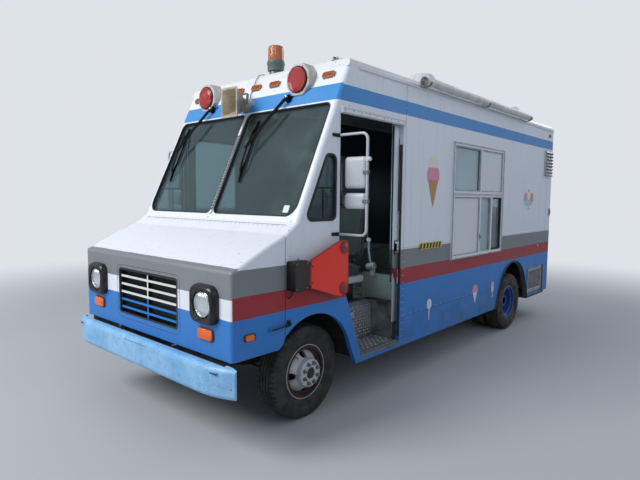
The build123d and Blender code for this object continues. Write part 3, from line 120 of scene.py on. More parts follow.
class Look:
    """A node material under construction."""

    def __init__(self, name, **settings):
        self.material = bpy.data.materials.new(name)
        self.material.use_nodes = True
        self.tree = self.material.node_tree
        self.shader = self.tree.nodes["Principled BSDF"]
        coordinates = self.tree.nodes.new("ShaderNodeTexCoord")
        self.place = coordinates.outputs["Object"]
        self.normal = coordinates.outputs["Normal"]
        self.set(**settings)

    def set(self, **settings):
        """Sets the shader's sockets, named with underscores."""
        for name, value in settings.items():
            self.feed(self.shader.inputs[name.replace("_", " ").title().replace("Ior", "IOR")], value)
        return self

    def feed(self, socket, value):
        """Links or sets one socket."""
        if isinstance(value, bpy.types.NodeSocket):
            self.tree.links.new(value, socket)
        else:
            socket.default_value = rgb(value) if isinstance(value, str) else value

    def node(self, kind, feeds=None, out=0, **settings):
        """Adds a node and gives one of its outputs."""
        made = self.tree.nodes.new("ShaderNode" + kind)
        for name, value in settings.items():
            setattr(made, name, value)
        for key, value in (feeds or {}).items():
            self.feed(made.inputs[key], value)
        return made.outputs[out]

    def math(self, operation, *values, clamp=False):
        return self.node("Math", dict(enumerate(values)), operation=operation, use_clamp=clamp)

    def times(self, *values):
        return self.math("MULTIPLY", *values)

    def plus(self, *values):
        return self.math("ADD", *values)

    def above(self, *values):
        return self.math("GREATER_THAN", *values)

    def wave(self, value, length):
        """A sine of the given wavelength."""
        return self.math("SINE", self.times(value, 2 * math.pi / length))

    def smooth(self, value, low, high):
        """0 below low and 1 above high, or the other way round when low is above high."""
        feeds = {"Value": value, "From Min": min(low, high), "From Max": max(low, high),
                 "To Min": 0.0 if low < high else 1.0, "To Max": 1.0 if low < high else 0.0}
        return self.node("MapRange", feeds, interpolation_type="SMOOTHSTEP")

    def mix(self, share, first, second):
        """Colour between first and second."""
        return self.node("Mix", {0: share, 6: first, 7: second}, 2, data_type="RGBA")

    def axes(self):
        return self.tree.nodes[self.node("SeparateXYZ", {0: self.place}).node.name].outputs

    def stretched(self, x, y, z):
        """Object coordinates scaled along each axis."""
        return self.node("Mapping", {"Vector": self.place, "Scale": (x, y, z)})

    def noise(self, scale, low=0.4, high=0.6, detail=4.0, vector=None, rough=0.55):
        """Noise as a 0 to 1 mask."""
        feeds = {"Vector": vector or self.place, "Scale": scale, "Detail": detail, "Roughness": rough}
        return self.smooth(self.node("TexNoise", feeds), low, high)

    def cells(self, scale, low=0.0, high=0.1, vector=None):
        """Edges of Voronoi cells as a 0 to 1 mask."""
        feeds = {"Vector": vector or self.place, "Scale": scale}
        return self.smooth(self.node("TexVoronoi", feeds, feature="DISTANCE_TO_EDGE"), low, high)

    def bumped(self, height, distance=0.002, strength=0.5):
        """The finished material, raised by height."""
        feeds = {"Height": height, "Distance": distance, "Strength": strength}
        return self.set(normal=self.node("Bump", feeds)).material

    def bands(self, height, table, top=3.3):
        """Colour by height from (lower edge, colour) rows."""
        ramp = self.tree.nodes.new("ShaderNodeValToRGB")
        ramp.color_ramp.interpolation = "CONSTANT"
        elements = ramp.color_ramp.elements
        elements.remove(elements[1])
        for index, (edge, colour) in enumerate(table):
            stop = elements[0] if index == 0 else elements.new(edge / top)
            stop.position = edge / top
            stop.color = rgb(colour)
        self.feed(ramp.inputs[0], self.math("DIVIDE", height, top))
        return ramp.outputs[0]

    def out(self, mixed):
        """Ends the material in a shader other than its own."""
        self.feed(self.tree.nodes["Material Output"].inputs[0], mixed)
        return self.material


SIDE_BANDS = ((0, BLUE), (0.971, RED), (1.132, GREY), (1.312, WHITE), (2.567, STRIPE), (2.702, WHITE))
FRONT_BANDS = ((0, BLUE), (0.970, WHITE), (1.115, GREY), (1.318, WHITE), (2.575, STRIPE), (2.712, WHITE))


def weathered(look, colour, dirt=0.5, low=0.35, high=0.95):
    """Paint over steel, with grime near the ground, rain streaks, chalky patches and small chips."""
    z = look.axes()[2]
    patches = look.noise(1.7, 0.3, 0.75, detail=6)
    colour = look.mix(look.times(patches, 0.05), colour, "#b9bcc2")
    streak = look.noise(1.0, 0.52, 0.75, vector=look.stretched(24, 24, 0.9))
    spray = look.times(look.smooth(z, high, low), look.noise(6, 0.25, 0.75, detail=8))
    grime = look.math("ADD", look.times(streak, 0.16 * dirt), look.times(spray, dirt), clamp=True)
    colour = look.mix(grime, colour, GRIME)
    chips = look.noise(38, 0.715, 0.735, detail=3)
    colour = look.mix(look.times(chips, 0.8), colour, RUST)
    roughness = look.plus(look.times(grime, 0.35), look.times(patches, 0.12))
    look.set(base_color=colour, roughness=look.plus(roughness, 0.34), coat_weight=0.12, coat_roughness=0.2)
    dents = look.plus(look.noise(2.2, 0.2, 0.8, detail=1), look.times(look.noise(90, 0.3, 0.7), 0.02))
    return look.bumped(dents, 0.010, 0.25)


def body_paint(name, side_from=WALL_X - 0.007):
    """White body, painted in bands outside and bare grey inside, that grey darkened as painted shade; below the
    nose's lower edge at the front it is near black, painted shade of the gap under the nose; the side's bands
    start at side_from.
    """
    look = Look(name)
    x, y, z = look.axes()
    wobble = look.times(look.node("TexNoise", {"Vector": look.place, "Scale": 5.0}), 0.006)
    height = look.plus(z, wobble)
    side = look.above(look.math("ABSOLUTE", x), side_from)
    colour = look.mix(side, look.bands(height, FRONT_BANDS), look.bands(height, SIDE_BANDS))
    middle = look.node("VectorMath", {0: look.place, 1: (0, 0.55, 1.6)}, operation="SUBTRACT")
    outward = look.node("VectorMath", {0: middle, 1: look.normal}, out=1, operation="DOT_PRODUCT")
    # Faces turned inward get the inside grey, darkened there as painted shade
    colour = look.mix(look.above(outward, 0.0), INSIDE_GREY_AND_SHADE, colour)
    x, y, z = look.axes()
    # Near black below the nose's lower edge at the front: painted shade of the gap between nose and bumper
    under_nose_shade = look.times(look.math("LESS_THAN", z, 0.6968), look.math("LESS_THAN", y, AXLE_Y - 0.5))
    return weathered(look, look.mix(under_nose_shade, colour, "#0d0e10"))


def plain_paint(name, colour, dirt=0.5, low=0.35, high=0.95):
    return weathered(Look(name), rgb(colour), dirt, low, high)


def bumper_paint(name):
    """Sky blue brushed on by hand, cracked and rubbed through to rust."""
    look = Look(name)
    bent_place = look.node("VectorMath", {
        0: look.place, 1: look.node("TexNoise", {"Vector": look.place, "Scale": 9.0}, out=1)},
        operation="ADD")
    crack = look.cells(26, 0.012, 0.0, bent_place)
    worn = look.noise(11, 0.62, 0.72, detail=9)
    specks = look.times(look.noise(75, 0.64, 0.68, detail=2), look.noise(3.5, 0.35, 0.6))
    shade = look.mix(look.noise(3, 0.3, 0.7), SKY, "#93c3ea")
    for share, colour in ((look.times(look.noise(16, 0.45, 0.7, detail=8), 0.35), "#5f95c4"),
                          (look.times(worn, 0.30), "#5a7f9c"), (look.times(specks, 0.85), "#27313a"),
                          (look.times(crack, look.noise(2.3, 0.45, 0.6)), RUST)):
        shade = look.mix(share, shade, colour)
    strokes = look.noise(1.0, 0.2, 0.8, vector=look.stretched(6, 60, 90), detail=5)
    look.set(base_color=shade, roughness=look.plus(0.38, look.times(worn, 0.25)))
    return look.bumped(look.math("SUBTRACT", strokes, look.times(crack, 1.5)), 0.0015, 0.6)


def rubber(name, colour="#17181a", roughness=0.6):
    look = Look(name)
    dust = look.noise(9, 0.35, 0.8, detail=7)
    look.set(base_color=look.mix(look.times(dust, 0.35), colour, "#55524c"),
             roughness=look.plus(roughness, look.times(dust, 0.2)))
    return look.bumped(look.noise(160, 0.2, 0.8), 0.0006)


def tyre_rubber(name, dust_colour="#6a6257", amount=0.55):
    """Black rubber with dust in the grooves and on the sidewall."""
    look = Look(name)
    dust = look.times(look.noise(12, 0.3, 0.72, detail=8), amount)
    look.set(base_color=look.mix(dust, "#1c1c1d", dust_colour), roughness=0.78)
    return look.bumped(look.noise(220, 0.2, 0.8), 0.0008)


def metal(name, colour, roughness=0.35, rust=0.0, metallic=1.0):
    """Bare or plated metal with scratches, stains and rust."""
    look = Look(name)
    stain = look.noise(11, 0.35, 0.75, detail=8)
    shade = look.mix(look.times(stain, 0.3), colour, "#4c4c4a")
    eaten = look.times(look.noise(17, 0.50, 0.62, detail=9), rust)
    rough = look.plus(roughness, look.times(look.plus(stain, eaten), 0.22))
    look.set(base_color=look.mix(eaten, shade, RUST), roughness=rough,
             metallic=look.times(look.math("SUBTRACT", 1.0, eaten), metallic))
    return look.bumped(look.noise(130, 0.3, 0.7), 0.0006, 0.4)


def glass(name, tint="#9db4b8"):
    """Window glass that lets lamps through, with a film of dust, hazier in the serving windows."""
    look = Look(name, ior=1.45)
    film = look.times(look.noise(3, 0.35, 0.8, detail=9), 0.12)
    y = look.axes()[1]
    hazy = look.above(y, AXLE_Y + 1.5)
    narrow = look.times(look.above(y, AXLE_Y + 3.2), 0.45)
    haze = look.plus(0.06, look.math("SUBTRACT", look.times(hazy, 0.60), narrow))
    look.set(roughness=look.plus(film, 0.02), base_color=look.mix(hazy, tint, "#c4d6dc"),
             transmission_weight=look.math("SUBTRACT", 1.0, haze))
    clear = look.node("BsdfTransparent", {"Color": rgb(tint)})
    light = look.node("LightPath", out=1)
    return look.out(look.node("MixShader", {0: light, 1: look.shader.outputs[0], 2: clear}))


def lens(name, colour):
    """Moulded plastic lens with fine prisms."""
    look = Look(name, base_color=rgb(colour), roughness=0.12, coat_weight=0.6, coat_roughness=0.06,
                subsurface_weight=0.15, subsurface_radius=(0.02, 0.008, 0.004))
    x, _, z = look.axes()
    return look.bumped(look.times(look.wave(x, PRISM), look.wave(z, PRISM)), 0.0012, 0.7)


def sealed_beam(name):
    """Headlamp glass over a bright reflector, fluted upright."""
    look = Look(name, base_color=rgb("#dfe5ea"), metallic=0.55, roughness=0.12, coat_weight=1.0,
                coat_roughness=0.03)
    x, _, z = look.axes()
    flutes = look.math("ABSOLUTE", look.wave(x, 0.034))
    return look.bumped(look.plus(flutes, look.times(look.wave(z, 0.05), 0.4)), 0.004, 0.8)


def vinyl(name, colour, stain="#77756e"):
    look = Look(name)
    patch = look.noise(8, 0.35, 0.75, detail=8)
    look.set(base_color=look.mix(look.times(patch, 0.4), colour, stain), roughness=0.5, sheen_weight=0.15)
    return look.bumped(look.plus(look.cells(420, 0.0, 0.5), look.noise(30, 0.2, 0.8)), 0.0008)


def tread_plate(name):
    """Worn aluminium plate with dirt between its lugs."""
    look = Look(name, metallic=0.75)
    dirt = look.noise(7, 0.35, 0.7, detail=8)
    look.set(base_color=look.mix(look.times(dirt, 0.65), "#9fa2a4", "#3d3a35"),
             roughness=look.plus(0.32, look.times(dirt, 0.4)))
    return look.bumped(look.noise(90, 0.3, 0.7), 0.0008, 0.4)


def grille_paint(name):
    """The front's bands on the bars, near black on the border and behind them as painted shade of the opening."""
    look = Look(name, roughness=0.45)
    x, y, z = look.axes()
    colour = look.mix(look.above(z, 0.985), look.bands(z, FRONT_BANDS), "#d9dbd6")
    # Near black on the grille's border and on faces set back behind its front: painted shade of the opening
    dark = look.above(look.math("ABSOLUTE", x), 0.4275)
    for low, high in ((z, 0.8165), (1.1785, z)):
        dark = look.math("MAXIMUM", dark, look.math("LESS_THAN", low, high))
    dark = look.math("MAXIMUM", dark, look.above(y, NOSE_FRONT + AXLE_Y + 0.016))
    look.set(base_color=look.mix(dark, colour, "#0b0c0d"))
    return look.bumped(look.noise(130, 0.3, 0.7), 0.0005, 0.4)


def vent_finish(name):
    """Painted aluminium louvres and frame; the sheet behind the mesh and all else set deep into the wall is near
    black as painted shade of the recess.
    """
    look = Look(name, metallic=0.3, roughness=0.45)
    # Surfaces set more than 11.5 mm into the wall are near black: painted shade of the recess
    deep = look.math("LESS_THAN", look.axes()[0], WALL_X - 0.0115)
    stain = look.noise(9, 0.35, 0.75, detail=8)
    shade = look.mix(look.times(stain, 0.3), "#c3c6c6", "#6f6f6c")
    look.set(base_color=look.mix(deep, shade, "#1d1e1f"))
    return look.bumped(look.noise(130, 0.3, 0.7), 0.0006, 0.4)


def wafer(name):
    """Baked brown with a crossed lattice, printed flat."""
    look = Look(name, roughness=0.45)
    _, y, z = look.axes()
    lines = [look.above(look.math("FRACT", look.times(look.math(way, y, z), 32.0)), 0.82)
             for way in ("ADD", "SUBTRACT")]
    return look.set(base_color=look.mix(look.math("MAXIMUM", *lines), "#c99a5b", "#9a6a34")).material


def flat_look(name, colour, **settings):
    return Look(name, base_color=rgb(colour), **settings)


MATERIALS = {name: make(name, *settings) for make, rows in (
    (body_paint, {"body_paint": (), "door_paint": (0.9,)}),
    (bumper_paint, {"bumper_paint": ()}),
    (tread_plate, {"tread_plate": ()}),
    (glass, {"glass": ()}),
    (grille_paint, {"grille_paint": ()}),
    (vent_finish, {"vent_finish": ()}),
    (sealed_beam, {"sealed_beam": ()}),
    (wafer, {"wafer": ()}),
    (plain_paint, {
        "roof_paint": ("#dcdee1", 0.4), "chassis_black": ("#1b1b1c", 0.8, 0.2, 1.3),
        "underbody_black": ("#141414", 0.6, 0.2, 1.3), "tank_steel": ("#222223", 0.8, 0.2, 1.3),
        "mirror_white": ("#b4bac0", 0.35), "horn_beige": ("#cdc0a5", 0.9, 2.2, 3.4),
        "vent_white": ("#cfd1d0", 0.5), "sign_red": ("#f02c0e", 0.15), "cabinet_white": ("#969a93", 0.4),
        # dark_recess is near black: the colour of real black parts, and painted shade in the louvre strips, horn
        # throat, grille border and bumper shelf
        "rim_blue": ("#1d4a92", 0.22, 0.1, 0.2), "dark_recess": ("#0b0b0c", 0.2),
        "white_trim": ("#dcdee0", 0.3), "panel_white": ("#d9dde2", 0.2),
        "beacon_dark": ("#5c6a66", 0.5, 2.0, 3.6), "latch_blue": (BLUE, 0.4),
        "sill_paint": ("#62727f", 1.0, 0.1, 0.9), "sign_edge": ("#8e1f1c", 0.4),
        "window_white": ("#dde1e6", 0.25), "dirty_white": ("#cdc8bf", 1.0, 2.2, 3.2),
        "clear_lens": ("#d7dadb", 0.2), "knob": ("#d9d9d6", 0.2), "seat_shell": ("#aeb1b2", 0.3),
        "box_brown": ("#2a211d", 0.5), "pink_ice": ("#d98fa6", 0.15), "cream_ice": ("#e9e2cf", 0.15),
        "orange_ice": ("#dd8f45", 0.15), "cherry": ("#b01624", 0.15), "sundae_glass": ("#a9cbd8", 0.15),
        "strip_yellow": ("#cdb43a", 0.3)}),
    (metal, {
        "cast_iron": ("#3a3835", 0.6, 0.4, 0.6), "exhaust_steel": ("#5b4c40", 0.6, 0.8, 0.7),
        "window_aluminium": ("#b9bcc0", 0.36, 0.0, 0.9), "vent_metal": ("#a9acae", 0.4, 0.0, 0.8),
        "rim_grey": ("#cbccd2", 0.5, 0.16, 0.2), "chrome": ("#d8dadc", 0.12),
        "bolt_steel": ("#8f8f8d", 0.4, 0.35), "barrel_rust": ("#3c2b26", 0.7, 0.6, 0.3),
        "rim_rust": ("#7b756c", 0.55, 0.8, 0.4), "rusty_screw": ("#6b5a4c", 0.6, 0.9, 0.4),
        "lug_metal": ("#cfd2d4", 0.35, 0.0, 0.6)}),
    (rubber, {"black_plastic": ("#07080b", 0.48), "lamp_bezel": ("#0f1116", 0.3), "gasket_rubber": (),
              "seam_dark": ("#26292c", 0.7)}),
    (lens, {"amber_lens": ("#f06a08",), "red_lens": ("#a30a12",), "beacon_amber": ("#b8622f",),
            "marker_amber": ("#b5622c",), "sign_lamp": ("#8c1212",), "dark_lens": ("#3a1212",)}),
    (vinyl, {"awning_vinyl": ("#d3d4d2",), "dash_grey": ("#5b5f62", "#3c3c3a"),
             "seat_vinyl": ("#2a2e31", "#4a4a46")}),
    (tyre_rubber, {"tyre": (), "front_tread": ("#59544c", 0.4), "rear_tread": ("#6c6050", 0.6)}),
) for name, settings in rows.items()}
MATERIALS["mirror_glass"] = flat_look("mirror_glass", "#e8ecee", metallic=1.0, roughness=0.02).material
black = flat_look("wiper_black", "#030304", roughness=0.6, specular_ior_level=0.15)
MATERIALS["wiper_black"] = black.bumped(black.noise(180, 0.2, 0.8), 0.0004, 0.4)


# Mesh tools

def level(u, v, w):
    """Point on no plane of its own: u, v and w are X, Y and Z."""
    return (u, v, w)


def on_side(u, v, w):
    """Point on the side wall: u along Y, v up, w out from the wall."""
    return (WALL_X + w, u, v)


def on_screen(u, v, w):
    """Point on the windshield plane: u across, v as height, w out from it."""
    return (u, SCREEN_FOOT_Y + SCREEN_SLOPE * (v - SCREEN_FOOT_Z) - w / SCREEN_STRETCH,
            v + w * SCREEN_SLOPE / SCREEN_STRETCH)


def on_nose(u, v, w):
    """Point on the nose's front: u across, v up, w forward of it."""
    return (u, NOSE_FRONT - w, v)


def on_rear(u, v, w):
    """Point on the rear wall: u across, v up, w behind it."""
    return (u, BODY_REAR + w, v)


class Shape:
    """A mesh under construction on a plane, drawn on the left and mirrored onto the right for that side."""

    def __init__(self, side=None, plane=level):
        self.mesh = bmesh.new()
        self.side = side or LEFT
        self.suffix = "_" + SIDE_NAMES[side] if side else ""
        self.on(plane)

    def on(self, plane):
        """Draws on another plane from here."""
        self.plane = plane
        self.axis = Vector(plane(0, 0, 1)) - Vector(plane(0, 0, 0))
        return self

    def loft(self, lines, closed=True, looped=False, start=False, end=False):
        """Skins lines of equal count in turn, with a face on the first or last where asked."""
        rings = [[self.mesh.verts.new(point) for point in line] for line in lines]
        for first, second in zip(rings, rings[1:] + (rings[:1] if looped else [])):
            for i in range(len(first) if closed else len(first) - 1):
                j = (i + 1) % len(first)
                self.mesh.faces.new((first[i], first[j], second[j], second[i]))
        for ring in rings[:1] * start + rings[-1:] * end:
            self.mesh.faces.new(ring)
        return self

    def block(self, low, high):
        """A box from two corners."""
        made = bmesh.ops.create_cube(self.mesh, size=1.0)["verts"]
        low, high = Vector(self.plane(*low)), Vector(self.plane(*high))
        for vert in made:
            vert.co = Vector((a + (b - a) * (c + 0.5) for a, b, c in zip(low, high, vert.co)))
        return self

    def slab(self, corners, low, high):
        """A flat outline carried from low to high over the plane."""
        return self.loft([[self.plane(u, v, w) for u, v in corners] for w in (low, high)],
                         start=True, end=True)

    def plate(self, first, second, low, high):
        """A slab over the rectangle between two corners."""
        return self.slab(rectangle(first, second), low, high)

    def frame(self, outer, inner, low, high):
        """A flat ring between two outlines of equal count, carried from low to high."""
        return self.loft([[self.plane(u, v, w) for u, v in line] for line, w in (
            (outer, low), (outer, high), (inner, high), (inner, low))], looped=True)

    def border(self, corners, outer, inner, low, high, steps=6):
        """A ring round a rectangle; outer and inner are its edges' (reach, corner radius)."""
        outlines = [oblong(*grown(*corners, reach), radius, steps) for reach, radius in (outer, inner)]
        return self.frame(*outlines, low, high)

    def lathe(self, profile, centre, steps=32, axis=None, hollow=False):
        """A profile of (along, radius) turned about an axis; a hollow one closes on itself."""
        centre, axis = Vector(self.plane(*centre)), Vector(axis or self.axis).normalized()
        aside = axis.orthogonal().normalized()
        other = axis.cross(aside)
        turns = [2 * math.pi * i / steps for i in range(steps)]
        return self.loft([[centre + axis * along + radius * (aside * math.cos(t) + other * math.sin(t))
                           for t in turns] for along, radius in profile],
                         looped=hollow, start=not hollow, end=not hollow)

    def tube(self, points, radius, sides=10, closed=False, squeeze=1.0, up=(0, 0, 1)):
        """A round tube along points, squeezed across up when it is an oval strip."""
        points = [Vector(self.plane(*p)) for p in points]
        up = Vector(up)
        rings = []
        count = len(points)
        turns = [2 * math.pi * k / sides for k in range(sides)]
        for i, point in enumerate(points):
            after = points[(i + 1) % count] if closed or i + 1 < count else point
            before = points[i - 1] if closed or i > 0 else point
            tangent = (after - before).normalized()
            across = tangent.cross(up)
            if across.length < 1e-3:
                across = tangent.cross(Vector((1, 0, 0)))
            across.normalize()
            lift = across.cross(tangent)
            rings.append([point + radius * (across * math.cos(t) + lift * squeeze * math.sin(t))
                    for t in turns])
        return self.loft(rings, looped=closed, start=not closed, end=not closed)

    def bolt(self, place, radius=0.008, height=0.006, sides=6):
        """A bolt head."""
        return self.lathe([(0, radius), (height * 0.8, radius), (height, radius * 0.8)], place, sides)

    def bolts(self, across, up, out, radius, height, sides=8):
        """Bolt heads at each crossing of across and up."""
        for u in across:
            for v in up:
                self.bolt((u, v, out), radius, height, sides)
        return self

    def piece(self, name, material, body="truck", bevel=0.0, sharp=35, replaces=None):
        """Turns the mesh into an object that rides on a body; the side completes the names of paired ones."""
        bmesh.ops.remove_doubles(self.mesh, verts=self.mesh.verts, dist=1e-6)
        for vert in self.mesh.verts:
            vert.co.x *= self.side
            vert.co.y += AXLE_Y
        bmesh.ops.recalc_face_normals(self.mesh, faces=self.mesh.faces)
        name += self.suffix
        data = bpy.data.meshes.new(name)
        self.mesh.to_mesh(data)
        self.mesh.free()
        made = bpy.data.objects.new(name, data)
        bpy.context.scene.collection.objects.link(made)
        data.materials.append(MATERIALS[material])
        data.shade_smooth()
        data.set_sharp_from_angle(angle=math.radians(sharp))
        if bevel:
            rounding = made.modifiers.new("rounding", "BEVEL")
            rounding.width = bevel
            rounding.segments = 2
            rounding.limit_method = "ANGLE"
            rounding.angle_limit = math.radians(sharp)
        if replaces:
            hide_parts(replaces if replaces in NODES else replaces + self.suffix)
        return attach(made, body if body in BODIES else SIDE_NAMES[self.side] + "_" + body)


def rectangle(low, high):
    """A rectangle's four corners."""
    return [low, (high[0], low[1]), high, (low[0], high[1])]


def arc(centre, radii, first, step, count):
    """Points on a circle or ellipse from the angle first, a step apart, in degrees."""
    wide, tall = radii if isinstance(radii, tuple) else (radii, radii)
    turns = [math.radians(first + step * i) for i in range(count)]
    return [(centre[0] + wide * math.cos(t), centre[1] + tall * math.sin(t)) for t in turns]


def rounded(points, radius, steps=6):
    """A closed outline with its corners turned into arcs; radius is one value or one for each corner."""
    made = []
    count = len(points)
    radii = radius if isinstance(radius, (list, tuple)) else [radius] * count
    for i, corner in enumerate(points):
        here = Vector(corner)
        before = (Vector(points[i - 1]) - here).normalized()
        after = (Vector(points[(i + 1) % count]) - here).normalized()
        half = before.angle(after) / 2
        reach = radii[i] / math.tan(half)
        centre = here + (before + after).normalized() * (radii[i] / math.sin(half))
        start = here + before * reach - centre
        end = here + after * reach - centre
        turn = start.angle_signed(end) if radii[i] else 0
        for k in range(steps + 1):
            angle = -turn * k / steps
            spun = Vector((start.x * math.cos(angle) - start.y * math.sin(angle),
                           start.x * math.sin(angle) + start.y * math.cos(angle)))
            made.append(tuple(centre + spun))
    return made


def oblong(low, high, radius, steps=6):
    """A rounded rectangle outline from two corners."""
    return rounded(rectangle(low, high), radius, steps)


def grown(low, high, reach):
    """Two corners moved outward by reach."""
    return (low[0] - reach, low[1] - reach), (high[0] + reach, high[1] + reach)


OWN_LOOKS = {"door_left": "door_paint", "door_right": "door_paint", "side_vents": "vent_finish",
             "serving_windows": "window_white", "grille": "grille_paint"}
for row in frame["record"]["subparts"]:
    carried = NODES[row["node"]].data.materials
    carried.clear()
    carried.append(MATERIALS[OWN_LOOKS.get(row["node"], row["material_slot"])])


# Wheels

TREAD_PITCHES = 56
TREAD_PLACES = (0.0, 0.80, 0.84, 0.96)
TREAD_CUTS = (0, 0, 1, 1)
CROWN_DROP = 0.010
SHOULDER = 0.086
LUGS = 8
LUG_CIRCLE = 0.0826
FRONT_FACE = 0.138
REAR_FACE = 0.010
FRONT_WHEEL = (FRONT_HUB_X, 0, WHEEL_Z)
REAR_WHEEL = (REAR_HUB_X, REAR_AXLE_Y, WHEEL_Z)
OUTWARD = (1, 0, 0)


def tyre_rows():
    """One half of the tyre from its middle outward: place across, radius and depth of the cross grooves."""
    tread = (
        (0.013, 0, 0), (0.0145, 0.009, 0), (0.0205, 0.009, 0), (0.022, 0, 0.003), (0.034, 0, 0),
        (0.045, 0, 0.003), (0.0465, 0.009, 0), (0.0535, 0.009, 0), (0.055, 0, 0.008), (0.072, 0, 0.008),
        (SHOULDER, 0, 0.008))
    wall = (
        (0.1035, 0.336), (0.1060, 0.322), (TYRE_HALF - 0.0001, 0.301), (0.1062, 0.285), (0.1030, 0.269),
        (0.1038, 0.267), (0.1035, 0.262), (0.1002, 0.259), (0.0945, 0.243), (0.0880, 0.231), (0.0830, 0.2245),
        (0.0765, 0.2205), (0.0765, 0.204))
    rows = [(across, TYRE_RADIUS - CROWN_DROP * (across / SHOULDER) ** 2 - deep, cut)
            for across, deep, cut in tread]
    return rows + [(0.0945, 0.366, 0.008), (0.0985, 0.352, 0.004)] + [(*place, 0) for place in wall]


def around(centre, across, radius, turn):
    """Point on a wheel from its place across, radius and angle."""
    return (centre[0] + across, centre[1] + radius * math.cos(turn), centre[2] + radius * math.sin(turn))


def add_tyre(shape, centre):
    """A ribbed tyre with cross grooves in its shoulders and rings on its sidewalls."""
    half = tyre_rows()
    shape.loft([[around(centre, across, radius - cut * sunk,
                        2 * math.pi * (pitch + place + (0.5 if across < 0 else 0)) / TREAD_PITCHES)
                 for pitch in range(TREAD_PITCHES) for place, sunk in zip(TREAD_PLACES, TREAD_CUTS)]
                for across, radius, cut in [(-a, r, c) for a, r, c in reversed(half)] + half])


def wheel(side, end, body, centre, face, offsets):
    """The tread that replaces the plain tyres, and the lug nuts."""
    tyres = Shape(side)
    for offset in offsets:
        add_tyre(tyres, (centre[0] + offset, *centre[1:]))
    plural = "s" * (len(offsets) > 1)
    tyres.piece(end + "_tread" + plural, end + "_tread", body, replaces=end + "_tyre" + plural)
    nuts = Shape(side)
    for index in range(LUGS):
        place = around(centre, face, LUG_CIRCLE, 2 * math.pi * (index + 0.5) / LUGS)
        for steps, profile in (
                (6, [(0, 0.019), (0.004, 0.019), (0.004, 0.0135), (0.020, 0.0135), (0.023, 0.010)]),
                (8, [(0.020, 0.007), (0.031, 0.007), (0.032, 0.006)])):
            nuts.lathe(profile, place, steps, OUTWARD)
    nuts.piece(end + "_lug_nuts", "bolt_steel", body)


def front_wheel(side):
    """Dark hub, rusty barrel, bright rings and a valve."""
    wheel(side, "front", "front_wheel", FRONT_WHEEL, FRONT_FACE, [0])
    for name, material, base, rings in (
            ("barrel", "barrel_rust", 0, [(64, [
                (0.010, 0.1735), (0.046, 0.1735), (0.056, 0.1960), (0.0805, 0.1960), (0.0805, 0.1945),
                (0.058, 0.1945), (0.048, 0.1720), (0.010, 0.1720)])]),
            ("disc_rings", "rim_grey", FRONT_FACE, [
                (64, [(-0.001, 0.1070), (0.003, 0.1055), (0.003, 0.1005), (-0.001, 0.099)]),
                (48, [(-0.001, 0.060), (0.005, 0.058), (0.005, 0.050), (-0.008, 0.047)])]),
            ("hub_cap", "dark_recess", FRONT_FACE, [
                (32, [(-0.012, 0.0465), (-0.007, 0.0465), (-0.004, 0.030), (0.004, 0.024), (0.006, 0.004)])]),
            ("rim_lip", "rim_grey", 0, [
                (64, [(0.074, 0.2215), (0.083, 0.2220), (0.0845, 0.2190), (0.083, 0.2165)])]),
            ("flange", "barrel_rust", 0, [
                (64, [(0.0800, 0.1950), (0.0826, 0.1950), (0.0832, 0.2162), (0.0800, 0.2162)])])):
        shape = Shape(side)
        for steps, profile in rings:
            shape.lathe([(base + along, radius) for along, radius in profile], FRONT_WHEEL, steps, OUTWARD,
                        hollow=name != "hub_cap")
        shape.piece("front_" + name, material, "front_wheel")
    ends = [around(FRONT_WHEEL, across, radius, 2.2) for across, radius in ((0.050, 0.172), (0.092, 0.160))]
    Shape(side).tube(ends, 0.004, 8).piece("front_valve", "gasket_rubber", "front_wheel")


def rear_wheels(side):
    """Tread on the twin tyres, lug nuts in the dished disc, and a rusty lip."""
    wheel(side, "rear", "rear_wheels", REAR_WHEEL, REAR_FACE, (-DUAL_HALF, DUAL_HALF))
    hub = Shape(side)
    hub.lathe([(0.150, 0.050), (0.156, 0.056), (0.156, 0.064), (0.150, 0.074)], REAR_WHEEL, 32, OUTWARD)
    for index in range(LUGS):
        hub.lathe([(0, 0.008), (0.008, 0.008), (0.010, 0.0064)],
                  around(REAR_WHEEL, 0.150, 0.066, 2 * math.pi * index / LUGS), 6, OUTWARD)
    hub.piece("rear_hub_flange", "rim_blue", "rear_wheels")
    edge = DUAL_HALF + 0.074
    lip = [(edge, 0.2215), (edge + 0.009, 0.2220), (edge + 0.0105, 0.2190), (edge + 0.009, 0.2165)]
    edge = Shape(side).lathe(lip, REAR_WHEEL, 64, OUTWARD, hollow=True)
    edge.piece("rear_rim_lip", "rim_rust", "rear_wheels")


for hand in SIDE_NAMES:
    front_wheel(hand)
    rear_wheels(hand)


# Windows

PANE_LOW = 1.658
PANE_HIGH = 2.555
PANE = ((0.025, PANE_LOW), (1.022, PANE_HIGH))
QUARTER = ((-0.176, 1.625), (0.175, 1.625), (0.175, 2.137), (0.065, 2.137))
SERVING = ((2.158, 1.121), (3.556, 2.422))
SCUTTLE_RISE = (SCREEN_FOOT_Z - HOOD_REAR_Z) / (SCREEN_FOOT_Y - SEAM_Y)
SCUTTLE_UP = Vector((0, -SCUTTLE_RISE, 1)).normalized()


def on_scuttle(u, v, w):
    """Point on the slope between the hood and the windshield: u across, v as height, w out from it."""
    return Vector((u, SCREEN_FOOT_Y + (v - SCREEN_FOOT_Z) / SCUTTLE_RISE, v)) + w * SCUTTLE_UP


def pane_outline(reach, steps=8):
    """The left windshield pane's outline, grown by reach."""
    radii = [0.05 + reach, 0.10 + reach, 0.05 + reach, 0.05 + reach]
    return rounded(rectangle(*grown(*PANE, reach)), radii, steps)


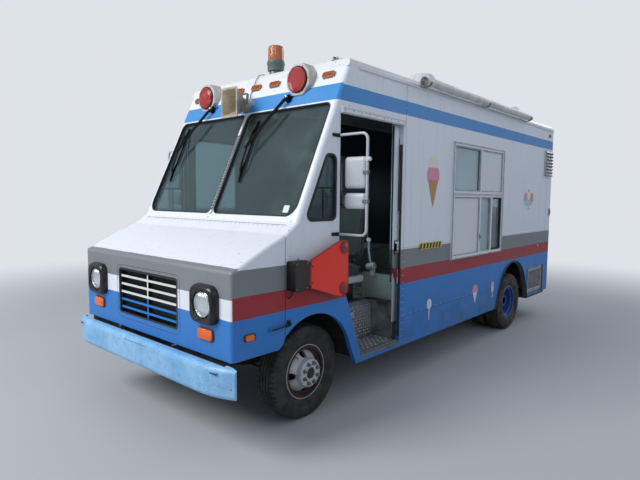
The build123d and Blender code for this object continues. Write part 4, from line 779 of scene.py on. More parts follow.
def offset_outline(corners, reach, radius, steps=6):
    """A convex outline moved outward by reach and rounded."""
    moved = []
    count = len(corners)
    middle = Vector((sum(c[0] for c in corners) / count, sum(c[1] for c in corners) / count))
    for i, corner in enumerate(corners):
        here = Vector(corner)
        before = (here - Vector(corners[i - 1])).normalized()
        after = (Vector(corners[(i + 1) % count]) - here).normalized()
        out = [Vector((d.y, -d.x)) * (1 if (here - middle).dot(Vector((d.y, -d.x))) > 0 else -1)
               for d in (before, after)]
        bisector = (out[0] + out[1]).normalized()
        moved.append(tuple(here + bisector * (reach / bisector.dot(out[0]))))
    return rounded(moved, radius, steps)


def windshield():
    """Rubber gaskets round both panes, the bright bar and cord between them, and the scuttle's seam."""
    for side in SIDE_NAMES:
        gasket = Shape(side, on_screen).frame(pane_outline(0.006), pane_outline(-0.004), -0.028, 0.004)
        gasket.frame(pane_outline(0.002), pane_outline(-0.002), 0.003, 0.006)
        gasket.piece("windshield_gasket", "gasket_rubber", bevel=0.003)
    bar = Shape(plane=on_screen).plate((-0.013, PANE_LOW - 0.01), (0.013, PANE_HIGH - 0.02), 0.002, 0.013)
    bar.piece("windshield_centre_bar", "white_trim", bevel=0.003)
    cord = Shape(plane=on_screen)
    pitch = 0.026
    for step in range(int((PANE_HIGH - 0.22 - PANE_LOW) / pitch)):
        low = PANE_LOW + 0.02 + step * pitch
        cord.slab([(-0.014, low), (0.014, low + 0.010), (0.014, low + 0.023), (-0.014, low + 0.013)], 0.009,
                0.018)
    cord.piece("windshield_zip_cord", "gasket_rubber", bevel=0.002)
    seam = Shape(plane=on_scuttle).plate((-0.99, 1.592), (0.99, 1.5940), -0.002, 0.0006)
    seam.piece("scuttle_seam", "seam_dark")
    screws = Shape(plane=on_scuttle).bolts([-0.96 + count * 0.055 for count in range(36)], [1.583], 0, 0.0035,
            0.0018)
    screws.piece("scuttle_screws", "rusty_screw")


def quarter_window(side):
    """Black gasket and sliding bar of the small window in the front post."""
    gasket = Shape(side, on_side)
    gasket.frame(offset_outline(QUARTER, 0.010, 0.055), offset_outline(QUARTER, -0.012, 0.034), -0.030, 0.006)
    gasket.slab([(-0.060, 1.868), (0.168, 1.868), (0.168, 1.884), (-0.054, 1.884)], -0.030, -0.008)
    gasket.plate((0.040, 1.640), (0.052, 1.870), -0.030, -0.012)
    gasket.piece("quarter_gasket", "gasket_rubber", bevel=0.003)


def serving_window(side):
    """Aluminium beads, tracks, a latch and screws of the serving window."""
    (front, low), (rear, high) = SERVING
    beads = Shape(side, on_side).border(SERVING, (-0.002, 0.004), (-0.016, 0.004), 0.013, 0.020, 2)
    for pane in (((2.198, 1.885), (2.860, 2.384)), ((2.892, 1.885), (3.518, 2.384)),
                 ((2.198, 1.160), (2.860, 1.820)), ((2.892, 1.160), (3.190, 1.820))):
        beads.border(pane, (0.004, 0.004), (-0.014, 0.004), -0.022, 0.004, 2)
    for z in (1.846, 1.858):
        beads.block((front + 0.03, z - 0.002, 0.012), (rear - 0.03, z + 0.002, 0.022))
    beads.piece("serving_beads", "window_aluminium", bevel=0.0015)
    seals = Shape(side, on_side)
    seals.frame(oblong((3.214, 1.150), (3.526, 1.830), 0.01, 2),
                oblong((3.240, 1.178), (3.500, 1.802), 0.006, 2),
                -0.024, 0.006)
    seals.border(((2.206, 1.893), (2.852, 2.376)), (0, 0.004), (-0.008, 0.004), -0.020, -0.012, 2)
    seals.piece("serving_seals", "gasket_rubber", bevel=0.0015)
    screws = Shape(side, on_side)
    screws.bolts((front + 0.009, rear - 0.009), (1.20, 1.45, 1.70, 2.0, 2.3), 0.020, 0.005, 0.003)
    screws.bolts((2.3, 2.6, 2.9, 3.2, 3.45), (low + 0.009, high - 0.009), 0.020, 0.005, 0.003)
    screws.piece("serving_screws", "bolt_steel")
    panels = Shape(side, on_side).block((2.210, 1.172, -0.010), (2.848, 1.808, -0.004))
    panels.block((2.904, 1.897, -0.010), (3.506, 2.372, -0.004)).piece("serving_panels", "panel_white",
            bevel=0.002)
    latch = Shape(side, on_side).block((2.868, 1.300, -0.006), (2.884, 1.390, 0.016))
    latch.block((2.872, 1.330, 0.016), (2.880, 1.360, 0.030)).piece("serving_latch", "bolt_steel",
            bevel=0.002)


windshield()
for hand in SIDE_NAMES:
    quarter_window(hand)
    serving_window(hand)


# Nose

LAMP_X = 0.797
LAMP_Z = 1.060
BEZEL = ((LAMP_X - 0.145, LAMP_Z - 0.138), (LAMP_X + 0.145, LAMP_Z + 0.138))
LENS_RADIUS = 0.084
LENS_CURVE = 0.19
TURN_Z = 0.847
TURN = ((LAMP_X - 0.090, TURN_Z - 0.046), (LAMP_X + 0.090, TURN_Z + 0.046))


def headlamp(side):
    """Black rounded surround with a bright ring, fluted lens and four screws."""
    lines = [(oblong(*grown(*BEZEL, reach), radius, 8), out) for reach, radius, out in (
        (0, 0.072, 0.0), (-0.003, 0.070, 0.030), (-0.012, 0.064, 0.046), (-0.024, 0.056, 0.053))]
    lines += [(arc((LAMP_X, LAMP_Z), 0.104 * share, -130, 10, 36), out)
              for share, out in ((1.0, 0.046), (0.97, 0.034), (0.90, 0.012))]
    bezel = Shape(side).loft([[on_nose(u, v, out) for u, v in line] for line, out in lines])
    bezel.piece("headlamp_bezel", "lamp_bezel", "nose", bevel=0.002, sharp=60, replaces="headlights")
    bulge = [(0.051 - LENS_CURVE + math.sqrt(LENS_CURVE ** 2 - r ** 2), r)
             for r in (LENS_RADIUS, 0.075, 0.06, 0.045, 0.03, 0.008)]
    for name, material, profile in (
            ("ring", "chrome", [
                (0.014, 0.093), (0.034, 0.093), (0.038, 0.089), (0.036, 0.085), (0.028, 0.083)]),
            ("lens", "sealed_beam", [(0.014, LENS_RADIUS)] + bulge)):
        part = Shape(side, on_nose).lathe(profile, (LAMP_X, LAMP_Z, 0), 48)
        part.piece("headlamp_" + name, material, "nose")
    screws = Shape(side, on_nose).bolts(
            (LAMP_X - 0.104, LAMP_X + 0.104), (LAMP_Z - 0.100, LAMP_Z + 0.100), 0.046,
                                        0.006, 0.004)
    screws.piece("headlamp_screws", "bolt_steel", "nose")


def turn_signal(side):
    """Amber lamp under the headlamp and the one on the nose's side, each with its base and screws."""
    base = Shape(side, on_nose).slab(oblong(*TURN, 0.030), 0, 0.008)
    base.on(on_side).slab(oblong((-0.775, 0.820), (-0.667, 0.870), 0.020), 0, 0.006)
    base.piece("turn_signal_base", "dark_recess", "nose", bevel=0.002, replaces="turn_signals")
    lamp_lens = Shape(side, on_side).loft([
        [on_nose(u, v, out) for u, v in oblong(*grown(*TURN, reach), radius)]
        for reach, radius, out in ((-0.007, 0.024, 0.006), (-0.008, 0.023, 0.018), (-0.018, 0.016, 0.0225))],
                end=True)
    lamp_lens.slab(oblong((-0.764, 0.825), (-0.690, 0.865), 0.014), 0.004, 0.017)
    lamp_lens.piece("turn_signal_lens", "amber_lens", "nose", bevel=0.002)
    screws = Shape(side, on_nose).bolts((LAMP_X - 0.074, LAMP_X + 0.074), [TURN_Z], 0.021, 0.005, 0.003)
    screws.on(on_side).bolts((-0.770, -0.678), [0.845], 0.006, 0.004, 0.003)
    screws.piece("turn_signal_screws", "bolt_steel", "nose")


def grille_parts():
    """Dark radiator behind the bars, a black border painted round the opening as painted shade, the pressed seam
    round the grille and its screws.
    """
    core = Shape(plane=on_nose).block((-0.45, 0.79, -0.036), (0.45, 1.205, -0.050))
    for index in range(70):
        x = -0.44 + 0.88 * index / 69
        core.block((x - 0.0012, 0.80, -0.033), (x + 0.0012, 1.195, -0.037))
    core.piece("radiator_core", "dark_recess", "nose")
    seam = Shape(plane=on_nose).border(((-0.475, 0.770), (0.475, 1.222)), (0, 0.060), (-0.003, 0.057), -0.002,
            0.0008)
    seam.piece("grille_panel_seam", "seam_dark", "nose")
    # Black ring on the nose round the opening: painted shade that widens the opening's dark
    edge = Shape(plane=on_nose).frame(oblong((-0.446, 0.808), (0.446, 1.196), 0.030),
                                      oblong((-0.427, 0.823), (0.427, 1.177), 0.016), -0.001, 0.0010)
    edge.piece("grille_border", "dark_recess", "nose")
    screws = Shape(plane=on_nose).bolts((-0.40, -0.20, 0.0, 0.20, 0.40), (0.786, 1.209), 0, 0.004, 0.002)
    screws.bolts((-0.460, 0.460), (0.90, 1.10), 0, 0.004, 0.002).piece("grille_screws", "rusty_screw", "nose")


def nose_latch(side):
    """Rubber pull latch from the nose to the body across the seam, with its two brackets."""
    keeper = Shape(side, on_side).block((-0.365, 0.850, 0), (-0.330, 0.900, 0.006))
    keeper.block((-0.358, 0.862, 0.004), (-0.338, 0.884, 0.026)).piece("latch_keeper", "gasket_rubber",
            bevel=0.002)
    bracket = Shape(side, on_side).block((-0.556, 0.842, 0), (-0.508, 0.880, 0.004))
    bracket.block((-0.545, 0.852, 0.004), (-0.520, 0.870, 0.020)).bolts((-0.550, -0.514), [0.861], 0.004,
            0.005, 0.003, 6)
    bracket.piece("latch_bracket", "latch_blue", "nose", bevel=0.002)
    strap = Shape(side, on_side).tube([(-0.536, 0.861, 0.018), (-0.48, 0.860, 0.021), (-0.42, 0.866, 0.022),
                                       (-0.392, 0.872, 0.024)], 0.005, 8, squeeze=1.4)
    strap.tube([(-0.394, 0.854, 0.026), (-0.394, 0.890, 0.026)], 0.006, 8)
    strap.piece("latch_strap", "gasket_rubber", "nose")


for hand in SIDE_NAMES:
    headlamp(hand)
    turn_signal(hand)
    nose_latch(hand)
grille_parts()


# Front header

WARNING_PLACES = (0.607, -0.685)
WARNING_Z = 2.797
WARNING_Y = 0.218
MARKER_PLACES = ((-0.250, 2.814), (0.0, 2.815), (0.250, 2.814), (-0.900, 2.800), (0.900, 2.800))
HORN_X, HORN_Z = -0.045, 2.650
BEACON_Y = 0.540
BEACON_LOW = 2.9565
FLUTES = 40
FORWARD, REARWARD = (0, -1, 0), (0, 1, 0)


def warning_lamp(x):
    """Red domed lens with rings, in an eight-sided white housing with a clamp ring and screws."""
    def on_face(u, v, w):
        return (u, WARNING_Y - w, v)

    name = "left" if x > 0 else "right"
    eight, mouth = (arc((x, WARNING_Z), 0.144 * share, 22.5, 45, 8) for share in (1, 0.80))
    housing = Shape().loft([[on_face(u, v, 0) for u, v in mouth], [on_face(u, v, 0) for u, v in eight],
                            [(u, SCREEN_FOOT_Y + SCREEN_SLOPE * (v - SCREEN_FOOT_Z) + 0.004, v)
                             for u, v in eight]],
                           start=True)
    housing.piece("warning_housing_" + name, "dirty_white", bevel=0.006, replaces="warning_lamps")
    rim = Shape(plane=on_face).lathe([(0, 0.112), (0.010, 0.112), (0.014, 0.108), (0.010, 0.103), (0, 0.103)],
                                     (x, WARNING_Z, 0), 48)
    for u, v in arc((x, WARNING_Z), 0.118, 0, 60, 6):
        rim.bolt((u, v, 0), 0.005, 0.004)
    rim.piece("warning_rim_" + name, "gasket_rubber")
    dome = [(0.006, 0.104), (0.016, 0.103), (0.020, 0.096), (0.0185, 0.090), (0.022, 0.084), (0.0205, 0.078),
            (0.0245, 0.070), (0.023, 0.064), (0.0265, 0.052), (0.0255, 0.046), (0.0275, 0.030),
            (0.0265, 0.024),
            (0.028, 0.008)]
    Shape(plane=on_face).lathe(dome, (x, WARNING_Z, 0), 48).piece("warning_lens_" + name, "red_lens")


def marker(x, z, index):
    """Small amber lamp with ribs, on a bright base."""
    rise = 0.032 / SCREEN_STRETCH
    base = Shape(plane=on_screen).slab(oblong((x - 0.069, z - rise), (x + 0.069, z + rise), 0.020, 4), -0.002,
            0.006)
    base.piece("marker_base_%d" % index, "chrome", bevel=0.002, replaces="marker_lamps")
    cover = oblong((x - 0.064, z - rise + 0.004), (x + 0.064, z + rise - 0.004), 0.018, 4)
    lamp_lens = Shape(plane=on_screen).slab(cover, 0.005, 0.023)
    for step in range(-5, 6):
        u = x + step * 0.010
        lamp_lens.plate((u - 0.0018, z - 0.017), (u + 0.0018, z + 0.017), 0.022, 0.026)
    lamp_lens.piece("marker_lens_%d" % index, "marker_amber", bevel=0.002)


def horn_parts():
    """Rolled lip, driver, a dark throat that is painted shade inside the mouth, and bracket of the loudspeaker."""
    mouth = oblong((HORN_X - 0.1085, HORN_Z - 0.1285), (HORN_X + 0.1085, HORN_Z + 0.1285), 0.012, 4)
    lip = Shape().tube([(u, 0.004, v) for u, v in mouth], 0.007, 8, closed=True, up=REARWARD)
    lip.lathe([(0, 0.045), (0.010, 0.052), (0.050, 0.052), (0.062, 0.046), (0.070, 0.020)],
              (HORN_X, 0.130, HORN_Z), 24, REARWARD).piece("horn_lip", "horn_beige")
    # Near-black cone at the back of the mouth: painted shade
    throat = Shape().lathe([(0, 0.030), (0.002, 0.010)], (HORN_X, 0.118, HORN_Z), 20, FORWARD)
    throat.piece("horn_throat", "dark_recess")
    bracket = Shape().tube([(HORN_X + x, y, HORN_Z + z) for x, y, z in (
        (-0.070, 0.150, 0), (-0.075, 0.158, 0.09), (0, 0.205, 0.11), (0.075, 0.158, 0.09),
        (0.070, 0.150, 0))],
        0.007, 8, squeeze=2.0, up=REARWARD)
    bracket.piece("horn_bracket", "bolt_steel")


def beacon_parts():
    """Dark magnetic foot, ribbed collar, an amber dome with flutes and a cap, and the lead to the horn."""
    centre = (0, BEACON_Y, 0)
    top = box("beacon")[1].z
    foot = [(BEACON_LOW + rise, radius) for rise, radius in (
        (-0.014, 0.094), (0.004, 0.094), (0.012, 0.088), (0.018, 0.066), (0.052, 0.062), (0.062, 0.080),
        (0.112, 0.082), (0.118, 0.086), (0.146, 0.086), (0.152, 0.081), (0.160, 0.079))]
    Shape().lathe(foot, centre, 40).piece("beacon_foot", "beacon_dark", replaces="beacon")
    dome = Shape().loft([[((radius - 0.0015 * (i % 2)) * math.cos(math.pi * i / FLUTES),
                           BEACON_Y + (radius - 0.0015 * (i % 2)) * math.sin(math.pi * i / FLUTES), height)
                          for i in range(2 * FLUTES)] for height, radius in (
        (BEACON_LOW + 0.158, 0.076), (BEACON_LOW + 0.166, 0.0768), (BEACON_LOW + 0.26, 0.0745),
        (top - 0.022, 0.073), (top - 0.010, 0.070), (top - 0.003, 0.058))], end=True)
    dome.piece("beacon_dome", "beacon_amber", sharp=60)
    cap = Shape().lathe([(top - 0.004, 0.030), (top - 0.0005, 0.026), (top, 0.004)], centre, 24)
    cap.piece("beacon_cap", "beacon_amber")
    wire = Shape().tube([(-0.030, 0.452, 2.964), (-0.034, 0.400, 2.966), (-0.040, 0.356, 2.952),
            (-0.044, 0.326, 2.905),
                         (-0.048, 0.296, 2.830), (-0.052, 0.266, 2.765), (-0.050, 0.250, 2.712)], 0.0035, 6)
    wire.piece("beacon_wire", "gasket_rubber")


for place in WARNING_PLACES:
    warning_lamp(place)
for order, (x, z) in enumerate(MARKER_PLACES):
    marker(x, z, order)
horn_parts()
beacon_parts()


# Mirrors and wipers

MIRROR_Y = 0.200
MIRROR_X = (1.153, 1.354)
MIRROR_HEADS = ((1.872, 2.117), (1.712, 1.836))
TUBE_X = WALL_X + 0.290
TUBE_Z = (1.508, 2.293)
KNOB_Z = 2.095
WIPER_PIVOTS = (("left", 0.513, 2.640), ("right", -0.577, 2.660))


def bent(points, radius, steps=8):
    """An open line with arcs at its inner corners."""
    line = rounded(points, [0] + [radius] * (len(points) - 2) + [0], steps)
    return [point for point, before in zip(line, [None] + line) if point != before]


def on_head(u, v, w):
    """Point on a mirror head: u across, v up, w forward of its glass."""
    return (u, MIRROR_Y + 0.024 - w, v)


def mirror(side):
    """White tube, two folded heads with their glass, clamps, a knob and the brackets on the wall."""
    low, high = TUBE_Z
    line = bent([(WALL_X + 0.004, high), (TUBE_X, high), (TUBE_X, low), (WALL_X + 0.004, low)], 0.05)
    tube = Shape(side).tube([(u, MIRROR_Y, v) for u, v in line], 0.011, 12, up=REARWARD)
    tube.piece("mirror_tube", "mirror_white", replaces="mirrors")
    shell, edge, glass_pane = (Shape(side, on_head) for _ in range(3))
    clamps = Shape(side, on_head)
    for low, high in MIRROR_HEADS:
        corners = (MIRROR_X[0], low), (MIRROR_X[1], high)
        shell.loft([[on_head(u, v, w) for u, v in oblong(*grown(*corners, reach), radius)]
                    for reach, radius, w in ((0, 0.028, 0.002), (0, 0.028, 0.022), (-0.007, 0.022, 0.031),
                                             (-0.030, 0.010, 0.0355))], end=True)
        shell.tube([(MIRROR_X[0] + 0.030, low + 0.005, 0.0345), (MIRROR_X[0] + 0.085, low + 0.032, 0.0345),
                    (MIRROR_X[1] - 0.03, low + 0.034, 0.0345)], 0.003, 6)
        edge.border(corners, (0.0025, 0.030), (-0.008, 0.020), -0.001, 0.006)
        glass_pane.slab(oblong(*grown(*corners, -0.006), 0.022), 0.0, 0.002)
        middle = (low + high) / 2
        clamps.block((TUBE_X - 0.034, middle - 0.013, 0.040), (TUBE_X + 0.015, middle + 0.013, 0.008))
        clamps.bolts([TUBE_X - 0.022], (middle - 0.007, middle + 0.007), 0.040, 0.005, 0.006, 6)
    shell.piece("mirror_heads", "mirror_white", sharp=50)
    edge.piece("mirror_edges", "gasket_rubber", bevel=0.001)
    glass_pane.piece("mirror_glass", "mirror_glass")
    clamps.piece("mirror_clamps", "bolt_steel", bevel=0.002)
    knob = Shape(side).lathe([(0, 0.006), (0.010, 0.006), (0.011, 0.015), (0.022, 0.016), (0.026, 0.012)],
                             (TUBE_X + 0.006, MIRROR_Y, KNOB_Z), 16, OUTWARD)
    knob.lathe([(-0.016, 0.0155), (0.016, 0.0155)], (TUBE_X, MIRROR_Y, KNOB_Z), 16)
    knob.piece("mirror_knob", "knob", bevel=0.001)
    feet = Shape(side, on_side)
    for z in TUBE_Z:
        feet.slab(oblong((0.128, z - 0.014), (0.223, z + 0.014), 0.010), 0, 0.005)
        feet.lathe([(0, 0.017), (0.012, 0.016), (0.024, 0.013)], (MIRROR_Y, z, 0.004), 16)
        feet.bolts((0.140, 0.166), [z], 0.005, 0.007, 0.005, 6)
    feet.piece("mirror_feet", "black_plastic", bevel=0.0015)


def wiper(name, x, z):
    """Gearbox with a bright cap, two thin arms and a bowed blade that hangs to the glass."""
    gearbox = Shape(plane=on_screen).slab(oblong((x - 0.024, z - 0.027), (x + 0.024, z + 0.027), 0.010), 0,
            0.036)
    gearbox.slab(oblong((x - 0.018, z - 0.021), (x + 0.018, z + 0.021), 0.008), 0.036, 0.044)
    gearbox.tube([(x + 0.024, z + 0.01, 0.012), (x + 0.055, z + 0.03, 0.006)], 0.005, 8)
    gearbox.piece("wiper_gearbox_" + name, "wiper_black", bevel=0.003, replaces="wipers")
    cap = Shape(plane=on_screen).lathe([(0, 0.015), (0.010, 0.015), (0.014, 0.011), (0.018, 0.005)],
            (x, z, 0.042), 16)
    cap.piece("wiper_cap_" + name, "chrome")
    tip = Vector((x - 0.315, z - 0.470 / SCREEN_STRETCH))
    pivot = Vector((x, z))
    along = (tip - pivot).normalized()
    arms = Shape(plane=on_screen)
    for offset in (-0.011, 0.011):
        aside = Vector((-along.y, along.x)) * offset
        arms.tube([(*(pivot + aside), 0.040), (*((pivot + tip) / 2 + aside), 0.048), (*(tip + aside), 0.036)],
                0.008, 8)
    arms.tube([(tip.x - 0.016, tip.y + 0.006, 0.036), (tip.x + 0.016, tip.y - 0.006, 0.036)], 0.006, 8)
    arms.tube([(*tip, 0.028), (*tip, 0.044)], 0.008, 10).piece("wiper_arms_" + name, "wiper_black")
    upper = tip + Vector((-0.008, 0.300 / SCREEN_STRETCH))
    length = Vector((0.026, -0.615 / SCREEN_STRETCH))

    def on_blade(share, aside, w):
        """Point along the blade, share 0 at its upper end."""
        return on_screen(upper.x + length.x * share + aside, upper.y + length.y * share, w)

    blade = Shape(plane=on_blade)
    blade.tube([(s, 0, 0.004 + 0.024 * math.sin(math.pi * s))
                for s in (0.16, 0.24, 0.36, 0.5, 0.64, 0.76, 0.84)], 0.0075, 8)
    for middle in (0.16, 0.84):
        blade.tube([(middle + d, 0, 0.004 - 0.010 * (d / 0.15) ** 2) for d in (-0.15, -0.08, 0, 0.08, 0.15)],
                0.006, 8)
    blade.tube([(0, 0, -0.008), (1, 0, -0.008)], 0.005, 8).piece("wiper_blade_" + name, "wiper_black")
    squeegee = Shape().loft([[on_blade(share, aside, w) for w, aside in (
        (-0.008, -0.003), (-0.008, 0.003), (-0.0185, 0.0006), (-0.0185, -0.0006))] for share in (0, 1)],
        start=True, end=True)
    squeegee.piece("wiper_rubber_" + name, "wiper_black")


for hand in SIDE_NAMES:
    mirror(hand)
for wiper_name, x, z in WIPER_PIVOTS:
    wiper(wiper_name, x, z)


# Doors and doorways

DOORWAY_Y = (0.227, 1.160)
DOOR_FACE = WALL_X - 0.046
DOOR_WINDOW = ((0.088, 1.620), (0.668, 2.400))
STEP_WELL_X = 0.7503
RISER_FRONT = 0.80
SILL_TOP = 0.4335
STEP_HIGH = box("rear_step")[1].z
LOZENGE = (0.0125, 0.0052, 0.0022)


def lozenges(shape, first, second, skip=None, pitch=0.031):
    """Raised lozenges of diamond plate, turned alternately, over a rectangle of (u, v)."""
    half_long, half_wide, rise = LOZENGE
    for i in range(int((first[1] - first[0]) / pitch)):
        for j in range(int((second[1] - second[0]) / pitch)):
            u, v = first[0] + (i + 0.5) * pitch, second[0] + (j + 0.5) * pitch
            if skip and skip(u, v):
                continue
            turn = math.radians(45 if (i + j) % 2 else -45)
            long_way = Vector((math.cos(turn), math.sin(turn)))
            wide_way = Vector((-long_way.y, long_way.x))
            tips = [long_way * half_long, wide_way * half_wide, -long_way * half_long, -wide_way * half_wide]
            shape.loft([[shape.plane(u + t.x * share, v + t.y * share, w) for t in tips]
                        for share, w in ((1, 0), (0.6, rise))], end=True)


def doorway(side):
    """Layered rail over the doorway, rubber on its rear jamb, worn sill plate and the well's plates."""
    front, rear = DOORWAY_Y
    rail = Shape(side, on_side).block((front - 0.014, 2.470, 0), (rear + 0.014, 2.477, 0.014))
    for z in (2.476, 2.511):
        rail.block((front - 0.004, z, 0.010), (rear + 0.004, z + 0.007, 0.030))
    rail.piece("door_header", "white_trim", bevel=0.002)
    screws = Shape(side, on_side).bolts([front + 0.03 + i * 0.11 for i in range(9)], [2.497], 0.022, 0.005,
            0.003)
    screws.piece("door_header_screws", "bolt_steel")
    strip = Shape(side, on_side).block((rear - 0.014, 1.680, -0.030), (rear - 0.001, 2.300, -0.006))
    strip.block((rear - 0.006, 0.470, -0.030), (rear - 0.001, 1.680, -0.006))
    strip.piece("jamb_rubber", "gasket_rubber", bevel=0.004)
    sill = Shape(side, on_side).block((0.555, 0.4302, -0.038), (rear - 0.003, SILL_TOP, 0.003))
    sill.block((0.552, 0.400, 0), (rear - 0.001, SILL_TOP, 0.003)).piece("sill_plate", "sill_paint",
            bevel=0.001)
    lugs = Shape(side, lambda u, v, w: (u, v, 0.4301 + w))
    lozenges(lugs, (0.765, 1.030), (0.560, 1.150))
    lugs.on(lambda u, v, w: (STEP_WELL_X + w, u, v))
    lozenges(lugs, (0.575, 1.150), (0.450, 0.790), lambda y, z: y < RISER_FRONT)
    lugs.on(lambda u, v, w: (u, v, 0.4333 + w))
    lozenges(lugs, (WALL_X - 0.036, WALL_X + 0.002), (0.560, 1.150))
    lugs.piece("step_lugs", "lug_metal")


def door_parts(side):
    """Seals, window gasket, latch and pull of a sliding door, placed where the door rests."""
    edge = box("door_" + SIDE_NAMES[side])[0].y

    def on_door(u, v, w):
        return (DOOR_FACE + w, edge + u, v)

    seal = Shape(side, on_door)
    for low, high in ((-0.012, 0.0008), (-0.034, -0.018)):
        seal.border(DOOR_WINDOW, (0.014, 0.070), (-0.010, 0.052), low, high)
    seal.block((-0.005, 1.0, -0.022), (0.001, 2.47, -0.006))
    seal.piece("door_seals", "gasket_rubber", "door", bevel=0.002)
    latch = Shape(side, on_door).block((0.022, 1.270, 0), (0.066, 1.400, 0.005))
    latch.block((0.027, 1.300, 0.005), (0.034, 1.372, 0.028)).piece("door_latch", "wiper_black", "door",
            bevel=0.003)
    pull = Shape(side, on_door).tube([(0.052, z, out) for z, out in (
        (1.285, 0.004), (1.292, 0.024), (1.335, 0.029), (1.378, 0.024), (1.386, 0.004))], 0.007, 10)
    pull.piece("door_pull", "chrome", "door")
    inner = Shape(side, on_door).block((0.05, 0.60, -0.0325), (0.70, 1.50, -0.0302))
    for z in (1.30, 1.42):
        inner.lathe([(0, 0.006), (0.0032, 0.006), (0.004, 0.0048)], (0.10, z, -0.0325), 6, (-1, 0, 0))
    inner.piece("door_inner_panel", "vent_white", "door", bevel=0.001)


for hand in SIDE_NAMES:
    doorway(hand)
    door_parts(hand)


# Side walls

SERVING_GAP = ((1.222, 2.146), (3.568, 5.470))
BELT_Z = 1.325
WALL_FOOT = 0.372


def rear_arch_line():
    """The middle of the rear arch's raised lip, from its front foot over the wheel to its rear foot."""
    middle = REAR_AXLE_Y + 0.042
    over = arc((middle, 0.465), 0.482, 159, -138 / 40, 41)
    return [(middle - 0.560, WALL_FOOT)] + over + [(middle + 0.560, WALL_FOOT)]


def side_trim(side):
    """Body seams, rivets, the belt ledge and the rear arch's rubber lip."""
    seams = Shape(side, on_side)
    for y, high in ((1.200, TOP_Z - 0.004), (4.905, 0.925), (5.300, TOP_Z - 0.004)):
        seams.plate((y - 0.001, WALL_FOOT), (y + 0.001, high), -0.001, 0.0006)
    seams.plate((1.222, 0.655), (3.38, 0.657), -0.001, 0.0006).piece("wall_seams", "seam_dark")
    rivets = Shape(side, on_side)
    for across, up in (((1.188, 1.212, 5.290, 5.310), [0.400 + i * 0.066 for i in range(37)]),
                       ([0.150 + i * 0.098 for i in range(54)], [2.848]),
                       ([1.250 + i * 0.105 for i in range(21)], [0.668])):
        rivets.bolts(across, up, 0, 0.004, 0.0016, 6)
    rivets.piece("wall_rivets", "white_trim")
    belt = Shape(side, on_side)
    for low, high in SERVING_GAP:
        belt.block((low, BELT_Z, 0), (high, BELT_Z + 0.012, 0.007))
    belt.piece("belt_ledge", "white_trim", bevel=0.003)
    lip = Shape(side, on_side).tube([(y, z, 0.010) for y, z in rear_arch_line()], 0.009, 8, squeeze=1.4,
            up=OUTWARD)
    lip.piece("arch_lip", "gasket_rubber")


def louvres():
    """Dark strips under the slats as painted shade, with the vent's edge bead and screws."""
    (front, low), (rear, high) = vent = ((BODY_REAR - 0.362, 2.160), (BODY_REAR - 0.022, 2.550))
    slats = 8
    # A near-black strip under each slat: painted shade
    shade_strips = Shape(plane=on_side)
    for index in range(slats):
        foot = low + index * (high - low) / slats
        shade_strips.plate((front + 0.016, foot + 0.0030), (rear - 0.016, foot + 0.0055), 0.010, 0.030)
    shade_strips.piece("louvre_gaps", "dark_recess")
    bead = Shape(plane=on_side).border(vent, (0, 0.006), (-0.010, 0.004), 0.010, 0.016, 2)
    bead.piece("louvre_bead", "panel_white", bevel=0.002)
    screws = Shape(plane=on_side).bolts((front + 0.005, rear - 0.005),
            (low + 0.03, (low + high) / 2, high - 0.03),
                                        0.016, 0.004, 0.003)
    screws.piece("louvre_screws", "bolt_steel")


MESH = ((REAR_AXLE_Y + 0.637, 0.432), (REAR_AXLE_Y + 1.217, 0.765))
MESH_PITCH, MESH_RISE = 0.030, 0.018


def mesh_door():
    """Expanded metal in its frame, with hinges, a latch, the bar behind it and the step box below."""
    (front, low), (rear, high) = MESH
    (y_low, z_low), (y_high, z_high) = grown(*MESH, -0.028)
    slope = MESH_RISE / MESH_PITCH
    width = y_high - y_low
    strands = Shape(plane=on_side)
    for lean in (1, -1):
        for index in range(int((z_high - z_low + slope * width) / MESH_RISE)):
            start = (z_low - slope * width if lean > 0 else z_low) + index * MESH_RISE
            ends = clipped(start, slope * lean, (0, width), (z_low, z_high))
            if ends:
                strands.tube([(y_low + u, v, -0.008 + 0.001 * lean) for u, v in ends], 0.0018, 4)
    strands.piece("mesh_strands", "vent_metal")
    fittings = Shape(plane=on_side).border(MESH, (0.012, 0.012), (-0.018, 0.008), 0.0035, 0.008)
    for y in (front + 0.10, rear - 0.10):
        fittings.tube([(y - 0.030, high + 0.012, 0.010), (y + 0.030, high + 0.012, 0.010)], 0.006, 10)
        fittings.block((y - 0.026, high + 0.012, 0), (y + 0.026, high + 0.034, 0.005))
    fittings.bolts((front, (front + rear) / 2, rear), (low, high), 0.008, 0.005, 0.003)
    fittings.piece("mesh_frame", "vent_metal", bevel=0.0015)
    latch = Shape(plane=on_side).lathe([(0, 0.014), (0.010, 0.014), (0.013, 0.010)],
                                       ((front + rear) / 2, low + 0.010, 0.008), 20)
    latch.piece("mesh_latch", "chrome")
    lower = Shape(plane=on_side).block((4.660, 0.330, -0.30), (5.400, 0.425, -0.012))
    lower.block((4.700, 0.345, -0.012), (5.360, 0.366, -0.004))
    lower.block((rear + 0.030, 0.380, 0.001), (rear + 0.062, 0.790, 0.014))
    lower.piece("step_box_left", "chassis_black", bevel=0.006)


def clipped(start, slope, across, up):
    """The part of the line v = start + slope * u that lies within a rectangle, as two points."""
    bounds = sorted((edge - start) / slope for edge in up)
    low, high = max(across[0], bounds[0]), min(across[1], bounds[1])
    if high - low < 0.004:
        return None
    return (low, start + slope * low), (high, start + slope * high)


